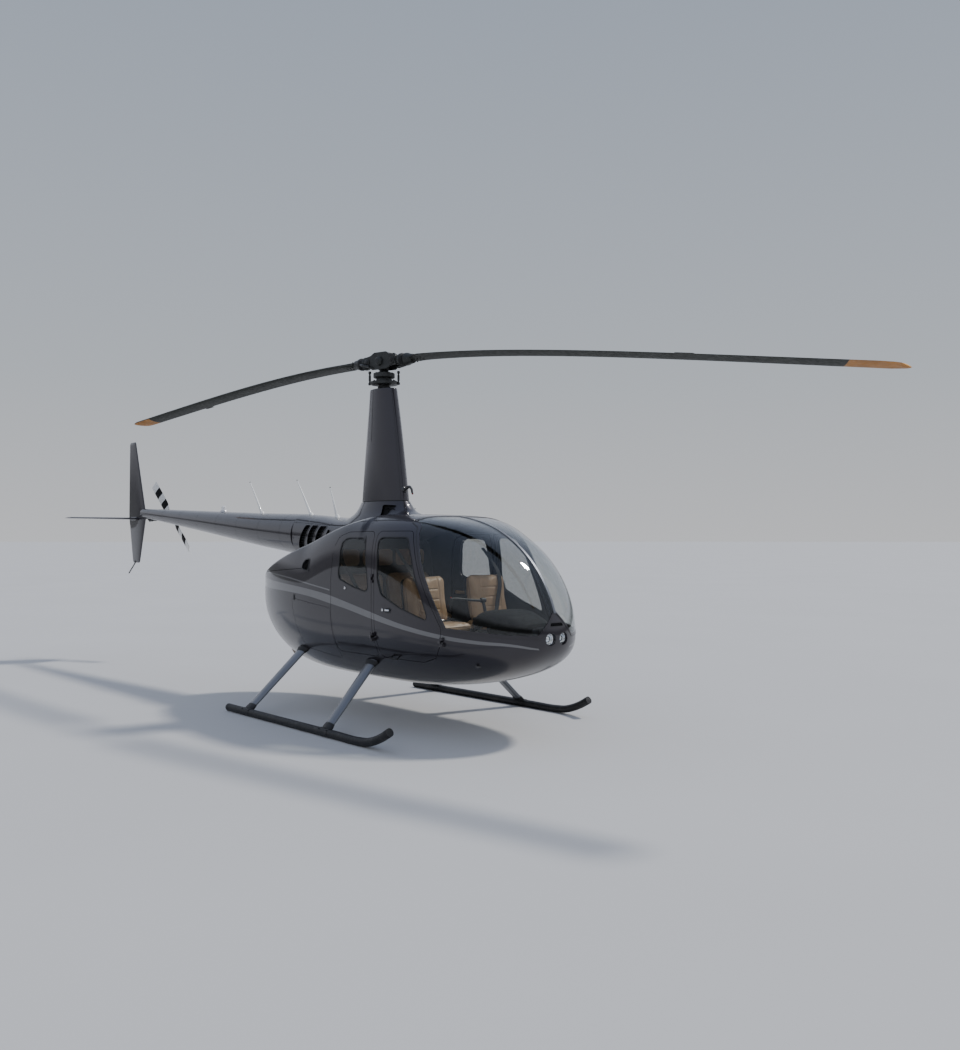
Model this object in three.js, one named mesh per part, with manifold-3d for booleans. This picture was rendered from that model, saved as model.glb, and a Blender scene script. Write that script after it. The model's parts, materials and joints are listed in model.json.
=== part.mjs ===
import * as THREE from 'three';
import Module from 'manifold-3d';
import { mergeVertices } from 'three/addons/utils/BufferGeometryUtils.js';

const wasm = await Module();
wasm.setup();

// Frame: millimetres, +X to the nose, +Y to the left, +Z up, ground at zero.
// The shapes are laid out from the rotor mast axis; MAST_X moves them to the box centre.
const MAST_X = 709.2;
const GAP = 0.35;
const DOOR_GAP = 6;
const WALL = 30;
const GLASS = 8;

// Cabin pod
const NOSE_X = 2330;
const NOSE_Z = 860;
const TAIL_X = -1840;
const TAIL_Z = 1230;
const POD_HALF_WIDTH = 737;
const ROOF_Z = 1883;
const BELLY_Z = 345;
const WAIST_Z = 1050;
const BULKHEAD_X = -130;
const FLOOR_Z = 590;
const SPLIT_Z = 900;
const DECK = [
  { x: -1840, z: 1232 },
  { x: -1500, z: 1290 },
  { x: -1190, z: 1372 },
  { x: -560, z: 1552 },
  { x: -30, z: 1698 },
  { x: 300, z: 1790 },
  { x: 500, z: 1850 },
  { x: 700, z: 1950 },
];

// Rotors
const ROTOR_RADIUS = 5030;
const ROTOR_AZIMUTH = 4.26;
const TEETER_Z = 3390;
const TEETER_REST = 2.65;
const BLADE_CHORD = 254;
const BLADE_THICKNESS = 32;
const BLADE_ROOT = 430;
const BLADE_DROOP = 432;
const TAIL_AXIS = { x: -5790, y: 455, z: 2000 };
const TAIL_RADIUS = 760;
const TAIL_BLADE_ANGLE = 141;
const TAIL_CHORD = 130;

// Landing gear
const SKID_Y = 1145;
const SKID_RADIUS = 35;
const STRUT_X = {
  front: { foot: 735, top: 640 },
  aft: { foot: -587, top: -507 },
};

const rad = (deg) => (deg * Math.PI) / 180;
const clamp = (v, lo, hi) => Math.min(Math.max(v, lo), hi);

function cap(u, p, q) {
  return Math.pow(Math.max(1 - Math.pow(clamp(u, 0, 1), p), 0), 1 / q);
}

function smooth(a, b, x) {
  const t = clamp((x - a) / (b - a), 0, 1);
  return t * t * (3 - 2 * t);
}

function along(table, key, x) {
  if (x <= table[0].x) return table[0][key];
  for (let i = 1; i < table.length; i += 1) {
    const a = table[i - 1];
    const b = table[i];
    if (x <= b.x) return a[key] + ((b[key] - a[key]) * (x - a.x)) / (b.x - a.x);
  }
  return table[table.length - 1][key];
}

// Pod cross-section at x, taken in by t from the outer skin
function podSection(x, t) {
  const nose = NOSE_X - t;
  const tail = TAIL_X + t;
  const w = (POD_HALF_WIDTH - t) * cap((x - 600) / (nose - 600), 3.0, 2.1) * cap(x / tail, 2.4, 1.9);
  const zw = WAIST_Z + (NOSE_Z - WAIST_Z) * smooth(500, NOSE_X, x)
    + (TAIL_Z - 130 - WAIST_Z) * smooth(0, TAIL_X, x);
  const top = zw + (ROOF_Z - t - zw) * cap((x - 500) / (nose - 500), 2.8, 1.8);
  const g = cap((x - 400) / (nose - 400), 2.5, 2.1) * cap((-100 - x) / (-100 - tail), 3.2, 1.6);
  const bottom = zw - (zw - BELLY_Z - t) * g;
  return {
    w,
    top,
    bottom,
    zw,
    pu: 3.0 - 0.7 * smooth(800, NOSE_X, x)
      + 2.5 * smooth(-400, 400, x) * (1 - smooth(700, 1700, x)),
    pl: 2.35 - 0.25 * smooth(400, TAIL_X, x),
    deck: along(DECK, 'z', x) - t,
  };
}

function superPoint(angle, w, h, p) {
  const c = Math.abs(Math.cos(angle));
  const s = Math.abs(Math.sin(angle));
  const k = Math.pow(Math.pow(c, p) + Math.pow(s, p), -1 / p);
  return [w * c * k, h * s * k];
}

// Half ring from the keel up to the centre line of the roof, as y and z pairs
function podHalfRing(x, t) {
  const LOWER = 7;
  const SIDE = 6;
  const TOP = 4;
  const CROWN = 45;
  const s = podSection(x, t);
  const pts = [];
  for (let i = 0; i < LOWER; i += 1) {
    const a = -Math.PI / 2 + (Math.PI / 2) * (i / LOWER);
    const [y, h] = superPoint(a, s.w, s.zw - s.bottom, s.pl);
    pts.push([y, s.zw - h]);
  }
  const creased = s.deck < s.top;
  let crease = rad(62);
  if (creased) {
    let lo = 0;
    let hi = Math.PI / 2;
    for (let i = 0; i < 30; i += 1) {
      const m = (lo + hi) / 2;
      if (s.zw + superPoint(m, s.w, s.top - s.zw, s.pu)[1] < s.deck) lo = m;
      else hi = m;
    }
    crease = lo;
  }
  for (let i = 0; i <= SIDE; i += 1) {
    const [y, h] = superPoint((crease * i) / SIDE, s.w, s.top - s.zw, s.pu);
    pts.push([y, s.zw + h]);
  }
  const edgeY = pts[pts.length - 1][0];
  for (let i = 1; i <= TOP; i += 1) {
    const f = i / TOP;
    if (creased) {
      const crown = Math.min(CROWN, s.top - s.deck);
      pts.push([edgeY * (1 - f), s.deck + crown * (1 - (1 - f) * (1 - f))]);
    } else {
      const [y, h] = superPoint(crease + (Math.PI / 2 - crease) * f, s.w, s.top - s.zw, s.pu);
      pts.push([y, s.zw + h]);
    }
  }
  pts[pts.length - 1][0] = 0;
  pts[0][0] = 0;
  return pts;
}

// Outer skin half width at x and z
function skinY(x, z) {
  const s = podSection(x, 0);
  const up = z > s.zw;
  const h = up ? s.top - s.zw : s.zw - s.bottom;
  const p = up ? s.pu : s.pl;
  return s.w * Math.pow(Math.max(1 - Math.pow(Math.abs(z - s.zw) / h, p), 0), 1 / p);
}

// Closed loft through rings of equal point counts, ends closed on their centres
function loft(rings) {
  const n = rings[0].length;
  const pos = [];
  for (const ring of rings) for (const p of ring) pos.push(...p);
  const index = [];
  for (let r = 0; r + 1 < rings.length; r += 1) {
    for (let i = 0; i < n; i += 1) {
      const j = (i + 1) % n;
      const a = r * n + i;
      const b = r * n + j;
      index.push(a, b, b + n, a, b + n, a + n);
    }
  }
  const centre = (ring) => [0, 1, 2].map((k) => ring.reduce((sum, p) => sum + p[k], 0) / n);
  const first = pos.length / 3;
  pos.push(...centre(rings[0]), ...centre(rings[rings.length - 1]));
  const base = (rings.length - 1) * n;
  for (let i = 0; i < n; i += 1) {
    const j = (i + 1) % n;
    index.push(first, j, i, first + 1, base + i, base + j);
  }
  return solid(pos, index);
}

// Manifold solid from positions and triangles, turned to face outwards
function solid(pos, index) {
  let volume = 0;
  for (let i = 0; i < index.length; i += 3) {
    const [a, b, c] = [0, 1, 2].map((k) => new THREE.Vector3().fromArray(pos, index[i + k] * 3));
    volume += a.dot(b.cross(c));
  }
  const tris = volume < 0 ? index.slice().reverse() : index;
  const geo = new THREE.BufferGeometry();
  geo.setAttribute('position', new THREE.Float32BufferAttribute(pos, 3));
  geo.setIndex(tris);
  return fromGeometry(geo);
}

function fromGeometry(geometry) {
  const geo = geometry.clone();
  geo.deleteAttribute('normal');
  geo.deleteAttribute('uv');
  const merged = mergeVertices(geo, 1e-3);
  return new wasm.Manifold(new wasm.Mesh({
    numProp: 3,
    vertProperties: new Float32Array(merged.attributes.position.array),
    triVerts: new Uint32Array(merged.index.array),
  }));
}

function box(x0, x1, y0, y1, z0, z1) {
  const geo = new THREE.BoxGeometry(x1 - x0, y1 - y0, z1 - z0);
  geo.translate((x0 + x1) / 2, (y0 + y1) / 2, (z0 + z1) / 2);
  return fromGeometry(geo);
}

// Round bar between two points, with a radius at each end
function bar(from, to, r0, r1 = r0, sides = 12) {
  const a = new THREE.Vector3(...from);
  const b = new THREE.Vector3(...to);
  const length = a.distanceTo(b);
  const geo = new THREE.CylinderGeometry(r1, r0, length, sides);
  geo.translate(0, length / 2, 0);
  const turn = new THREE.Quaternion().setFromUnitVectors(
    new THREE.Vector3(0, 1, 0),
    b.clone().sub(a).normalize(),
  );
  geo.applyQuaternion(turn);
  geo.translate(a.x, a.y, a.z);
  return fromGeometry(geo);
}

// Prism over an x-z outline, from y0 to y1
function prism(outline, y0, y1) {
  return loft([y0, y1].map((y) => outline.map(([x, z]) => [x, y, z])));
}

// Outline grown by d on every side
function grown(outline, d) {
  const n = outline.length;
  let area = 0;
  outline.forEach(([x, z], i) => {
    const [x1, z1] = outline[(i + 1) % n];
    area += x * z1 - x1 * z;
  });
  const sign = area > 0 ? 1 : -1;
  const normal = (p, q) => {
    const len = Math.hypot(q[0] - p[0], q[1] - p[1]);
    return [(sign * (q[1] - p[1])) / len, (-sign * (q[0] - p[0])) / len];
  };
  return outline.map((p, i) => {
    const before = normal(outline[(i + n - 1) % n], p);
    const after = normal(p, outline[(i + 1) % n]);
    const k = d / (1 + before[0] * after[0] + before[1] * after[1]);
    return [p[0] + (before[0] + after[0]) * k, p[1] + (before[1] + after[1]) * k];
  });
}

// Pod solid taken in by t
const POD_STATIONS = [
  -1836, -1810, -1740, -1620, -1450, -1250, -1000, -700, -350, 0, 350, 600, 850, 1100,
  1300, 1480, 1650, 1800, 1940, 2060, 2160, 2240, 2295, 2322,
];

function pod(t) {
  const scale = (NOSE_X - t) / NOSE_X;
  const rings = POD_STATIONS.map((station) => {
    const x = station > 0 ? station * scale : (station * (TAIL_X + t)) / TAIL_X;
    const half = podHalfRing(x, t);
    const left = half.map(([y, z]) => [x, y, z]);
    const right = half.slice(1, -1).reverse().map(([y, z]) => [x, -y, z]);
    return left.concat(right);
  });
  return loft(rings);
}

const outer = pod(0);
const inner = pod(WALL);
const shell = outer.subtract(inner);
const glassShell = outer.subtract(pod(GLASS));
const clearOfPod = pod(-GAP);

// Door outlines in side view, x and z
const FRONT_DOOR = [
  [857, 640], [1400, 640], [1560, 690], [1640, 800], [1655, 930], [1556, 1092],
  [1483, 1215], [1408, 1355], [1296, 1600], [1228, 1722], [857, 1722],
];
const REAR_DOOR = [
  [192, 640], [815, 640], [815, 1722], [430, 1718], [290, 1680], [222, 1570], [192, 1300],
];
const FRONT_GLASS = [
  [950, 1180], [1186, 1082], [1500, 990], [1512, 1030], [1445, 1185],
  [1372, 1333], [1303, 1503], [1214, 1672], [880, 1672], [897, 1310],
];
const REAR_GLASS = [
  [302, 1302], [525, 1236], [772, 1188], [755, 1323], [730, 1496],
  [702, 1668], [430, 1668], [352, 1640], [326, 1560], [318, 1454],
];
const BAGGAGE_DOOR = [[-800, 640], [-240, 620], [-240, 1040], [-800, 1080]];
const DOOR_AXES = {
  front: { x: 1662, y: 668, hinges: [790] },
  rear: { x: 822, y: 746, hinges: [780, 1280] },
  baggage: { x: -228, y: 746, hinges: [860] },
};

// Door-shaped cutter; its aft side widens outwards, so that the door swings clear
function doorCutter(outline, axis, side) {
  const ys = [200, 1000];
  const xs = outline.map((p) => p[0]);
  const aft = Math.min(...xs);
  const span = axis.x - aft;
  const rings = ys.map((y) => outline.map(([x, z]) => {
    const skin = skinY(x, z);
    const share = clamp((axis.x - x) / span, 0, 1);
    const slope = 1.25 * share * Math.max(axis.y - skin, 0) / span;
    return [x - slope * (y - skin), side * y, z];
  }));
  return loft(rings);
}

function door(outline, axis, glass, side) {
  let panel = shell.intersect(doorCutter(outline, axis, side));
  if (glass) panel = panel.subtract(prism(grown(glass, GAP), side * 200, side * 1000));
  return panel.add(hinge(axis, side, true));
}

// Three-knuckle hinge on a door axis: the middle knuckle is the door's, the outer two the frame's
const KNUCKLE = { r: 8, length: 34, depth: 62 };

function hinge(axis, side, ofDoor) {
  const { r, length, depth } = KNUCKLE;
  const parts = [];
  for (const low of axis.hinges) {
    for (const k of ofDoor ? [1] : [0, 2]) {
      const z0 = low + k * (length + GAP);
      const z1 = z0 + length;
      const ys = [side * (axis.y - depth), side * (axis.y + 4)].sort((a, b) => a - b);
      const leaf = [side * (axis.y - 2), side * (axis.y + 4)].sort((a, b) => a - b);
      const toward = ofDoor ? -1 : 1;
      const inset = ofDoor ? 17 : 11;
      const near = [axis.x + toward * inset, axis.x + toward * (inset + 12)].sort((a, b) => a - b);
      const reach = [axis.x, axis.x + toward * (inset + 5)].sort((a, b) => a - b);
      parts.push(bar([axis.x, side * axis.y, z0], [axis.x, side * axis.y, z1], r, r, 12));
      parts.push(box(near[0], near[1], ys[0], ys[1], z0, z1));
      parts.push(box(reach[0], reach[1], leaf[0], leaf[1], z0, z1));
    }
  }
  return parts.reduce((sum, part) => sum.add(part));
}

const RIGHT = -1;
const LEFT = 1;

// Windshield outline in side view, its sill seen from the nose, and its centre strip
const WINDSHIELD_SIDE = [
  [1130, 2000], [1130, 1800], [1235, 1752], [1318, 1610], [1430, 1362], [1505, 1222],
  [1580, 1095], [1676, 932], [1676, 700], [2500, 700], [2500, 2000],
];
const SILL_FRONT = [
  { x: 0, z: 1070 }, { x: 190, z: 868 }, { x: 420, z: 880 }, { x: 740, z: 935 }, { x: 1000, z: 960 },
];
const STRIP_HALF = 12;

function windshieldZone(side, inset) {
  const ring = (x) => {
    const pts = SILL_FRONT.map((p) => [x, side * Math.max(p.x, STRIP_HALF + inset), p.z + inset]);
    pts.push([x, side * 1000, 2100], [x, side * (STRIP_HALF + inset), 2100]);
    return pts;
  };
  return loft([ring(900), ring(2500)])
    .intersect(prism(grown(WINDSHIELD_SIDE, -inset), side * 1, side * 1100));
}

const stripZone = box(1130 + GAP, 2500, -STRIP_HALF + GAP, STRIP_HALF - GAP, 1073, 2000);

// Cabin shell, split at the sills into a lower part and a roof frame
function cabinShell() {
  let body = shell.intersect(box(BULKHEAD_X, 2500, -900, 900, 0, 2100));
  for (const side of [RIGHT, LEFT]) {
    body = body.subtract(doorCutter(grown(FRONT_DOOR, DOOR_GAP), DOOR_AXES.front, side));
    body = body.subtract(doorCutter(grown(REAR_DOOR, DOOR_GAP), DOOR_AXES.rear, side));
    body = body.subtract(windshieldZone(side, 0));
    body = body.add(hinge(DOOR_AXES.front, side, false)).add(hinge(DOOR_AXES.rear, side, false));
  }
  return body.subtract(box(1130, 2500, -STRIP_HALF - 1, STRIP_HALF + 1, 1070, 2000));
}

const LAMP = { y: 72, z: 858, r: 52, x: 2296 };
const cabin = cabinShell();
const belowSills = box(-2000, 2500, -900, 900, 0, SPLIT_Z)
  .add(box(1664, 2500, -900, 900, 0, 1100));
const aboveSills = box(-2000, 1664 - GAP, -900, 900, SPLIT_Z + GAP, 2100);

// Engine and tail parts of the pod
const ENGINE = { x0: -1150, x1: -450, y: 260, z0: 300, z1: 1150 };

function aftFuselage() {
  const body = shell.intersect(box(-2000, BULKHEAD_X - GAP, -900, 900, 0, 2100));
  const { top, mouth, r } = EXHAUST;
  return body
    .subtract(doorCutter(grown(BAGGAGE_DOOR, DOOR_GAP), DOOR_AXES.baggage, LEFT))
    .subtract(bar(top, [mouth[0] - 100, 0, mouth[2] - 93], r + GAP, r + GAP, 20))
    .add(hinge(DOOR_AXES.baggage, LEFT, false));
}

const insideWall = pod(WALL + GAP);

function cabinFloor() {
  const SEAT_TOP = 842;
  const plate = box(BULKHEAD_X + 30 + GAP, 1980, -800, 800, FLOOR_Z, FLOOR_Z + 22);
  const front = box(1010, 1500, -620, 620, FLOOR_Z + 5, SEAT_TOP)
    .subtract(box(900, 1600, -110, 110, FLOOR_Z + 22, SEAT_TOP + 5));
  const rear = box(BULKHEAD_X + 30 + GAP, 420, -620, 620, FLOOR_Z + 5, SEAT_TOP);
  return plate.add(front).add(rear).intersect(insideWall);
}

// Seat of a flat cushion and a back that leans on it, as one soft solid
function seat(x0, x1, y0, y1) {
  const CUSHION_Z = 842 + GAP;
  const BACK_INSET = 12;
  const cushion = prism([[x0, CUSHION_Z], [x1, CUSHION_Z], [x1, 950], [x0 + 20, 925]], y0, y1);
  const back = prism(
    [[x0 + 20, 900], [x0 + 190, 900], [x0 + 90, 1335], [x0 - 20, 1335]],
    y0 + BACK_INSET,
    y1 - BACK_INSET,
  );
  return cushion.add(back);
}

function console() {
  const pedestal = prism([[1640, 612.4], [1900, 612.4], [1960, 900], [1620, 960]], -110, 110);
  const hood = loft([
    [[1560, -230, 930], [1560, 230, 930], [1590, 190, 1010], [1590, -190, 1010]],
    [[1820, -250, 930], [1820, 250, 930], [1830, 200, 1065], [1830, -200, 1065]],
    [[2120, -150, 930], [2120, 150, 930], [2110, 110, 975], [2110, -110, 975]],
  ]);
  return pedestal.add(hood);
}

function cyclic() {
  const post = bar([1540, 0, 612.4], [1440, 0, 1130], 16);
  const tee = bar([1440, 20, 1120], [1400, -330, 1150], 12);
  const grip = bar([1400, -330, 1155], [1385, -335, 1040], 17);
  return post.add(tee).add(grip).subtract(box(1400, 1700, -50, 50, 500, FLOOR_Z + 22 + GAP));
}

// Upper cowling under the mast and ahead of the boom
const COWL = [
  { x: -1360, z: 1704, w: 216, h: 226 },
  { x: -1000, z: 1685, w: 236, h: 219 },
  { x: -600, z: 1660, w: 262, h: 215 },
  { x: -200, z: 1660, w: 285, h: 222 },
  { x: 100, z: 1690, w: 285, h: 212 },
  { x: 360, z: 1740, w: 250, h: 160 },
  { x: 560, z: 1780, w: 180, h: 110 },
];
const MAST_BASE = [
  { z: 1780, x: 28, a: 620, b: 262 },
  { z: 1850, x: 28, a: 545, b: 228 },
  { z: 1920, x: 28, a: 425, b: 190 },
  { z: 1970, x: 25, a: 372, b: 170 },
  { z: 2018, x: 24, a: 338, b: 153 },
];
const FAIRING = [
  { z: 2018 + GAP, x: 24, a: 326, b: 148 },
  { z: 2600, x: 10, a: 252, b: 125 },
  { z: 3000, x: -4, a: 195, b: 106 },
  { z: 3115, x: -10, a: 178, b: 100 },
];

function ellipseAt(cx, cy, a, b, place, sides, p = 2) {
  const pts = [];
  for (let i = 0; i < sides; i += 1) {
    const t = (2 * Math.PI * i) / sides;
    const [u, v] = superPoint(t, a, b, p);
    pts.push(place(cx + Math.sign(Math.cos(t)) * u, cy + Math.sign(Math.sin(t)) * v));
  }
  return pts;
}

function upperCowling() {
  const SIDES = 28;
  const body = loft(COWL.map((s) => ellipseAt(0, s.z, s.w, s.h, (y, z) => [s.x, y, z], SIDES, 2.2)));
  const base = loft(MAST_BASE.map((s) => ellipseAt(s.x, 0, s.a, s.b, (x, y) => [x, y, s.z], SIDES)));
  const bore = bar([0, 0, 1900], [0, 0, 2100], 62, 62, 20);
  const spillKeep = box(-1360, 700, -400, 400, 1480, 2100);
  return body.add(base).subtract(clearOfPod).subtract(bore).intersect(spillKeep);
}

function mastFairing() {
  const SIDES = 24;
  const body = loft(FAIRING.map((s) => ellipseAt(s.x, 0, s.a, s.b, (x, y) => [x, y, s.z], SIDES)));
  return body.subtract(bar([0, 0, 2000], [0, 0, 3200], 62, 62, 20));
}

// Tail boom, fin, stabilizer and tail rotor drive
const BOOM = [
  { x: -1360.5, z: 1704, r: 226 },
  { x: -2300, z: 1768, r: 190 },
  { x: -3900, z: 1896, r: 127 },
  { x: -5640, z: 2030, r: 62 },
];

function tailBoom(t = 0) {
  const SIDES = 20;
  const rings = BOOM.map((s, i) => ellipseAt(0, s.z, s.r + t, s.r + t, (y, z) => [
    i === BOOM.length - 1 ? s.x - t : s.x, y, z,
  ], SIDES));
  return loft(rings).subtract(clearOfPod);
}

function wing(sections, place) {
  const PROFILE = [
    [0, 0], [0.08, 0.7], [0.3, 1], [0.65, 0.6], [1, 0.06],
    [1, -0.06], [0.65, -0.6], [0.3, -1], [0.08, -0.7],
  ];
  return loft(sections.map((s) => PROFILE.map(([u, v]) => place(s, s.le - u * s.chord, (v * s.t) / 2))));
}

const FIN = [
  { at: 1330, le: -5800, chord: 240, t: 20 },
  { at: 1990, le: -5600, chord: 590, t: 56 },
  { at: 3055, le: -5960, chord: 212, t: 20 },
];
const STABILIZER = [
  { at: -4, le: -5760, chord: 300, t: 34 },
  { at: -970, le: -5770, chord: 290, t: 22 },
];

function verticalFin() {
  const fin = wing(FIN, (s, x, y) => [x, y, s.at]);
  return fin.subtract(tailBoom(GAP));
}

function tailGearbox() {
  const { x, z } = TAIL_AXIS;
  const arm = bar([x, 8, z], [x, 400, z], 48, 34, 16).add(bar([x, 120, z], [x, 260, z], 78, 66, 16));
  return arm.subtract(verticalFin().translate([0, GAP, 0]));
}

function tailBlade(sign) {
  const c = Math.cos(rad(TAIL_BLADE_ANGLE));
  const s = Math.sin(rad(TAIL_BLADE_ANGLE));
  const place = (r, u, v) => [
    TAIL_AXIS.x + sign * (c * r - s * u),
    TAIL_AXIS.y + v,
    TAIL_AXIS.z + sign * (s * r + c * u),
  ];
  const half = TAIL_CHORD / 2;
  return wing(
    [{ at: 105, le: 50, chord: 100, t: 26 }, { at: 240, le: half, chord: TAIL_CHORD, t: 20 },
      { at: TAIL_RADIUS, le: half, chord: TAIL_CHORD, t: 14 }],
    (sec, u, v) => place(sec.at, u, v),
  );
}

function tailHub() {
  const c = Math.cos(rad(TAIL_BLADE_ANGLE));
  const s = Math.sin(rad(TAIL_BLADE_ANGLE));
  const { x, y, z } = TAIL_AXIS;
  const shaft = bar([x, 400 + GAP, z], [x, 490, z], 20, 20, 16);
  const yoke = bar([x - c * 104, y, z - s * 104], [x + c * 104, y, z + s * 104], 24, 24, 12);
  return shaft.add(yoke).add(bar([x, 425, z], [x, 480, z], 52, 44, 16));
}

// Main rotor: hub and blades in the rotor frame, tilted on the teeter hinge
const toRotor = new THREE.Matrix4()
  .makeTranslation(0, 0, TEETER_Z)
  .multiply(new THREE.Matrix4().makeRotationZ(rad(ROTOR_AZIMUTH)))
  .multiply(new THREE.Matrix4().makeRotationY(rad(TEETER_REST)));
const toMast = new THREE.Matrix4()
  .makeTranslation(0, 0, TEETER_Z)
  .multiply(new THREE.Matrix4().makeRotationZ(rad(ROTOR_AZIMUTH)));

function moved(body, matrix) {
  return body.transform(matrix.elements);
}

function droop(r) {
  const s = clamp((r - 250) / (ROTOR_RADIUS - 250), 0, 1);
  return (-BLADE_DROOP * s * s * (6 - 4 * s + s * s)) / 3;
}

function mainBlade(sign) {
  const STATIONS = [BLADE_ROOT, 620, 900, 1500, 2100, 2700, 3300, 3900, 4400, 4800, ROTOR_RADIUS];
  const sections = STATIONS.map((r, i) => ({
    at: r,
    le: i === STATIONS.length - 1 ? 40 : i === 0 ? 50 : BLADE_CHORD * 0.3,
    chord: i === STATIONS.length - 1 ? 205 : i === 0 ? 120 : BLADE_CHORD,
    t: i === 0 ? 50 : BLADE_THICKNESS,
  }));
  const blade = wing(sections, (s, u, v) => [sign * s.at, sign * u, v + droop(s.at)]);
  return moved(blade, toRotor);
}

function rotorHub() {
  const body = bar([-250, 0, 0], [250, 0, 0], 62, 62, 16)
    .add(bar([-429, 0, -2], [-240, 0, 0], 44, 66, 16))
    .add(bar([240, 0, 0], [429, 0, -2], 66, 44, 16))
    .add(bar([0, -95, 0], [0, 95, 0], 44, 44, 16))
    .add(box(-120, 120, -60, 60, -30, 82));
  return moved(body, toRotor)
    .subtract(moved(bar([0, 0, -200], [0, 0, 22], 46, 46, 16), toRotor))
    .subtract(moved(box(-70, 70, -44, 44, -220, 22), toRotor));
}

function rotorMast() {
  const TEETER_PIN = 43.6;
  const shaft = bar([0, 0, 1900 + GAP], [0, 0, TEETER_Z], 30, 30, 16);
  return shaft.add(moved(bar([0, -TEETER_PIN, 0], [0, TEETER_PIN, 0], 16, 16, 16), toMast));
}

function swashplate() {
  const ring = bar([0, 0, 3160], [0, 0, 3186], 118, 118, 20)
    .add(bar([0, 0, 3210], [0, 0, 3232], 84, 84, 20))
    .add(bar([0, 0, 3150], [0, 0, 3262], 52, 52, 16));
  let body = ring;
  for (const sign of [1, -1]) {
    body = body.add(moved(bar([sign * 60, sign * 90, -218], [sign * 150, sign * 120, -218], 15), toMast));
    body = body.add(moved(bar([sign * 150, sign * 120, -232], [sign * 150, sign * 120, -88], 10), toMast));
  }
  return body.subtract(bar([0, 0, 3100], [0, 0, 3300], 30 + GAP, 30 + GAP, 16));
}

// Landing gear
function strut(at, side) {
  const FOOT = { x: at.foot, y: 1136, z: 58, chord: 56, t: 24 };
  const TOP = { x: at.top, y: 520, z: 655, chord: 68, t: 28 };
  const across = new THREE.Vector2(TOP.z - FOOT.z, FOOT.y - TOP.y).normalize();
  const ring = (e) => ellipseAt(e.x, 0, e.chord, e.t, (u, v) => [
    u,
    side * (e.y + v * across.x),
    e.z + v * across.y,
  ], 14);
  const body = loft([ring(FOOT), ring(TOP)]);
  const skidTube = bar([FOOT.x - 300, side * SKID_Y, SKID_RADIUS], [FOOT.x + 300, side * SKID_Y, SKID_RADIUS],
    SKID_RADIUS + GAP, SKID_RADIUS + GAP, 16);
  return body.subtract(clearOfPod).subtract(skidTube);
}

const SKID_LINE = [
  { x: -960, z: SKID_RADIUS, rise: 0 },
  { x: 200, z: SKID_RADIUS, rise: 0 },
  { x: 1240, z: SKID_RADIUS, rise: 0 },
  { x: 1340, z: 44, rise: 12 },
  { x: 1430, z: 68, rise: 20 },
  { x: 1530, z: 108, rise: 27 },
  { x: 1640, z: 167, rise: 29 },
];

function skid(side) {
  const rings = SKID_LINE.map((p) => ellipseAt(0, 0, SKID_RADIUS, SKID_RADIUS, (u, v) => [
    p.x - Math.sin(rad(p.rise)) * v,
    side * SKID_Y + u,
    p.z + Math.cos(rad(p.rise)) * v,
  ], 16));
  return loft(rings);
}

// Small fittings
const ANTENNAS = [
  { name: 'whip_antenna_aft', foot: [-2365, 1958], tip: [-2649, 2334] },
  { name: 'whip_antenna_middle', foot: [-1316, 1921], tip: [-1603, 2309] },
  { name: 'whip_antenna_front', foot: [-816, 1889], tip: [-949, 2205] },
];

function antenna(a) {
  return bar([a.foot[0], 0, a.foot[1] - 30], [a.tip[0], 0, a.tip[1]], 16, 5, 10)
    .add(bar([a.foot[0] + 10, 0, a.foot[1] - 60], [a.foot[0] + 4, 0, a.foot[1] + 22], 46, 22, 12));
}

function beacon() {
  return bar([-3300, 0, 1960], [-3300, 0, 2070], 42, 30, 14);
}

function pitot() {
  return bar([250, 0, 2115], [408, 0, 2155], 20, 16, 10)
    .add(bar([403, 0, 2160], [455, 0, 2082], 13, 9, 10));
}

const EXHAUST = { top: [-1130, 0, 840], mouth: [-1545, 0, 455], r: 92 };

function exhaust() {
  const pipe = bar(EXHAUST.top, EXHAUST.mouth, EXHAUST.r, EXHAUST.r, 20);
  const bore = bar([-1338, 0, 647], [-1600, 0, 404], 80, 80, 20);
  return pipe.subtract(bore).subtract(box(ENGINE.x0 - GAP, ENGINE.x1, -300, 300, 300, 1160));
}

const group = new THREE.Group();
group.name = 'light_helicopter';

function add(name, body, color, extra = {}) {
  const mesh = body.getMesh();
  const geo = new THREE.BufferGeometry();
  geo.setAttribute('position', new THREE.Float32BufferAttribute(mesh.vertProperties, 3));
  geo.setIndex(Array.from(mesh.triVerts));
  geo.translate(MAST_X, 0, 0);
  const flat = geo.toNonIndexed();
  flat.computeVertexNormals();
  const item = new THREE.Mesh(flat, new THREE.MeshStandardMaterial({ color, ...extra }));
  item.name = name;
  group.add(item);
}

const PAINT = 0x3b3a42;
const BLACK = 0x17181a;
const TAN = 0xb08a5e;
const STEEL = 0xa8abb0;
const BLADE = 0x3c3c38;
const CLEAR = { transparent: true, opacity: 0.35 };

const lampHoles = [RIGHT, LEFT].map((side) => bar(
  [LAMP.x - 60, side * LAMP.y, LAMP.z], [2400, side * LAMP.y, LAMP.z], LAMP.r + GAP, LAMP.r + GAP, 20,
));
add('cabin_lower_shell', lampHoles.reduce((b, h) => b.subtract(h), cabin.intersect(belowSills)), PAINT);
add('cabin_roof_frame', cabin.intersect(aboveSills), PAINT);
add('aft_fuselage', aftFuselage(), PAINT);
add('cabin_bulkhead', insideWall.intersect(box(BULKHEAD_X + 2, BULKHEAD_X + 30, -900, 900, 0, 2000)), BLACK);
add('cabin_floor', cabinFloor(), BLACK);
add('engine_block', insideWall.intersect(box(ENGINE.x0, ENGINE.x1, -ENGINE.y, ENGINE.y, ENGINE.z0, ENGINE.z1)), STEEL);
add('windshield_centre_strip', outer.subtract(pod(14)).intersect(stripZone), STEEL);

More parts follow.
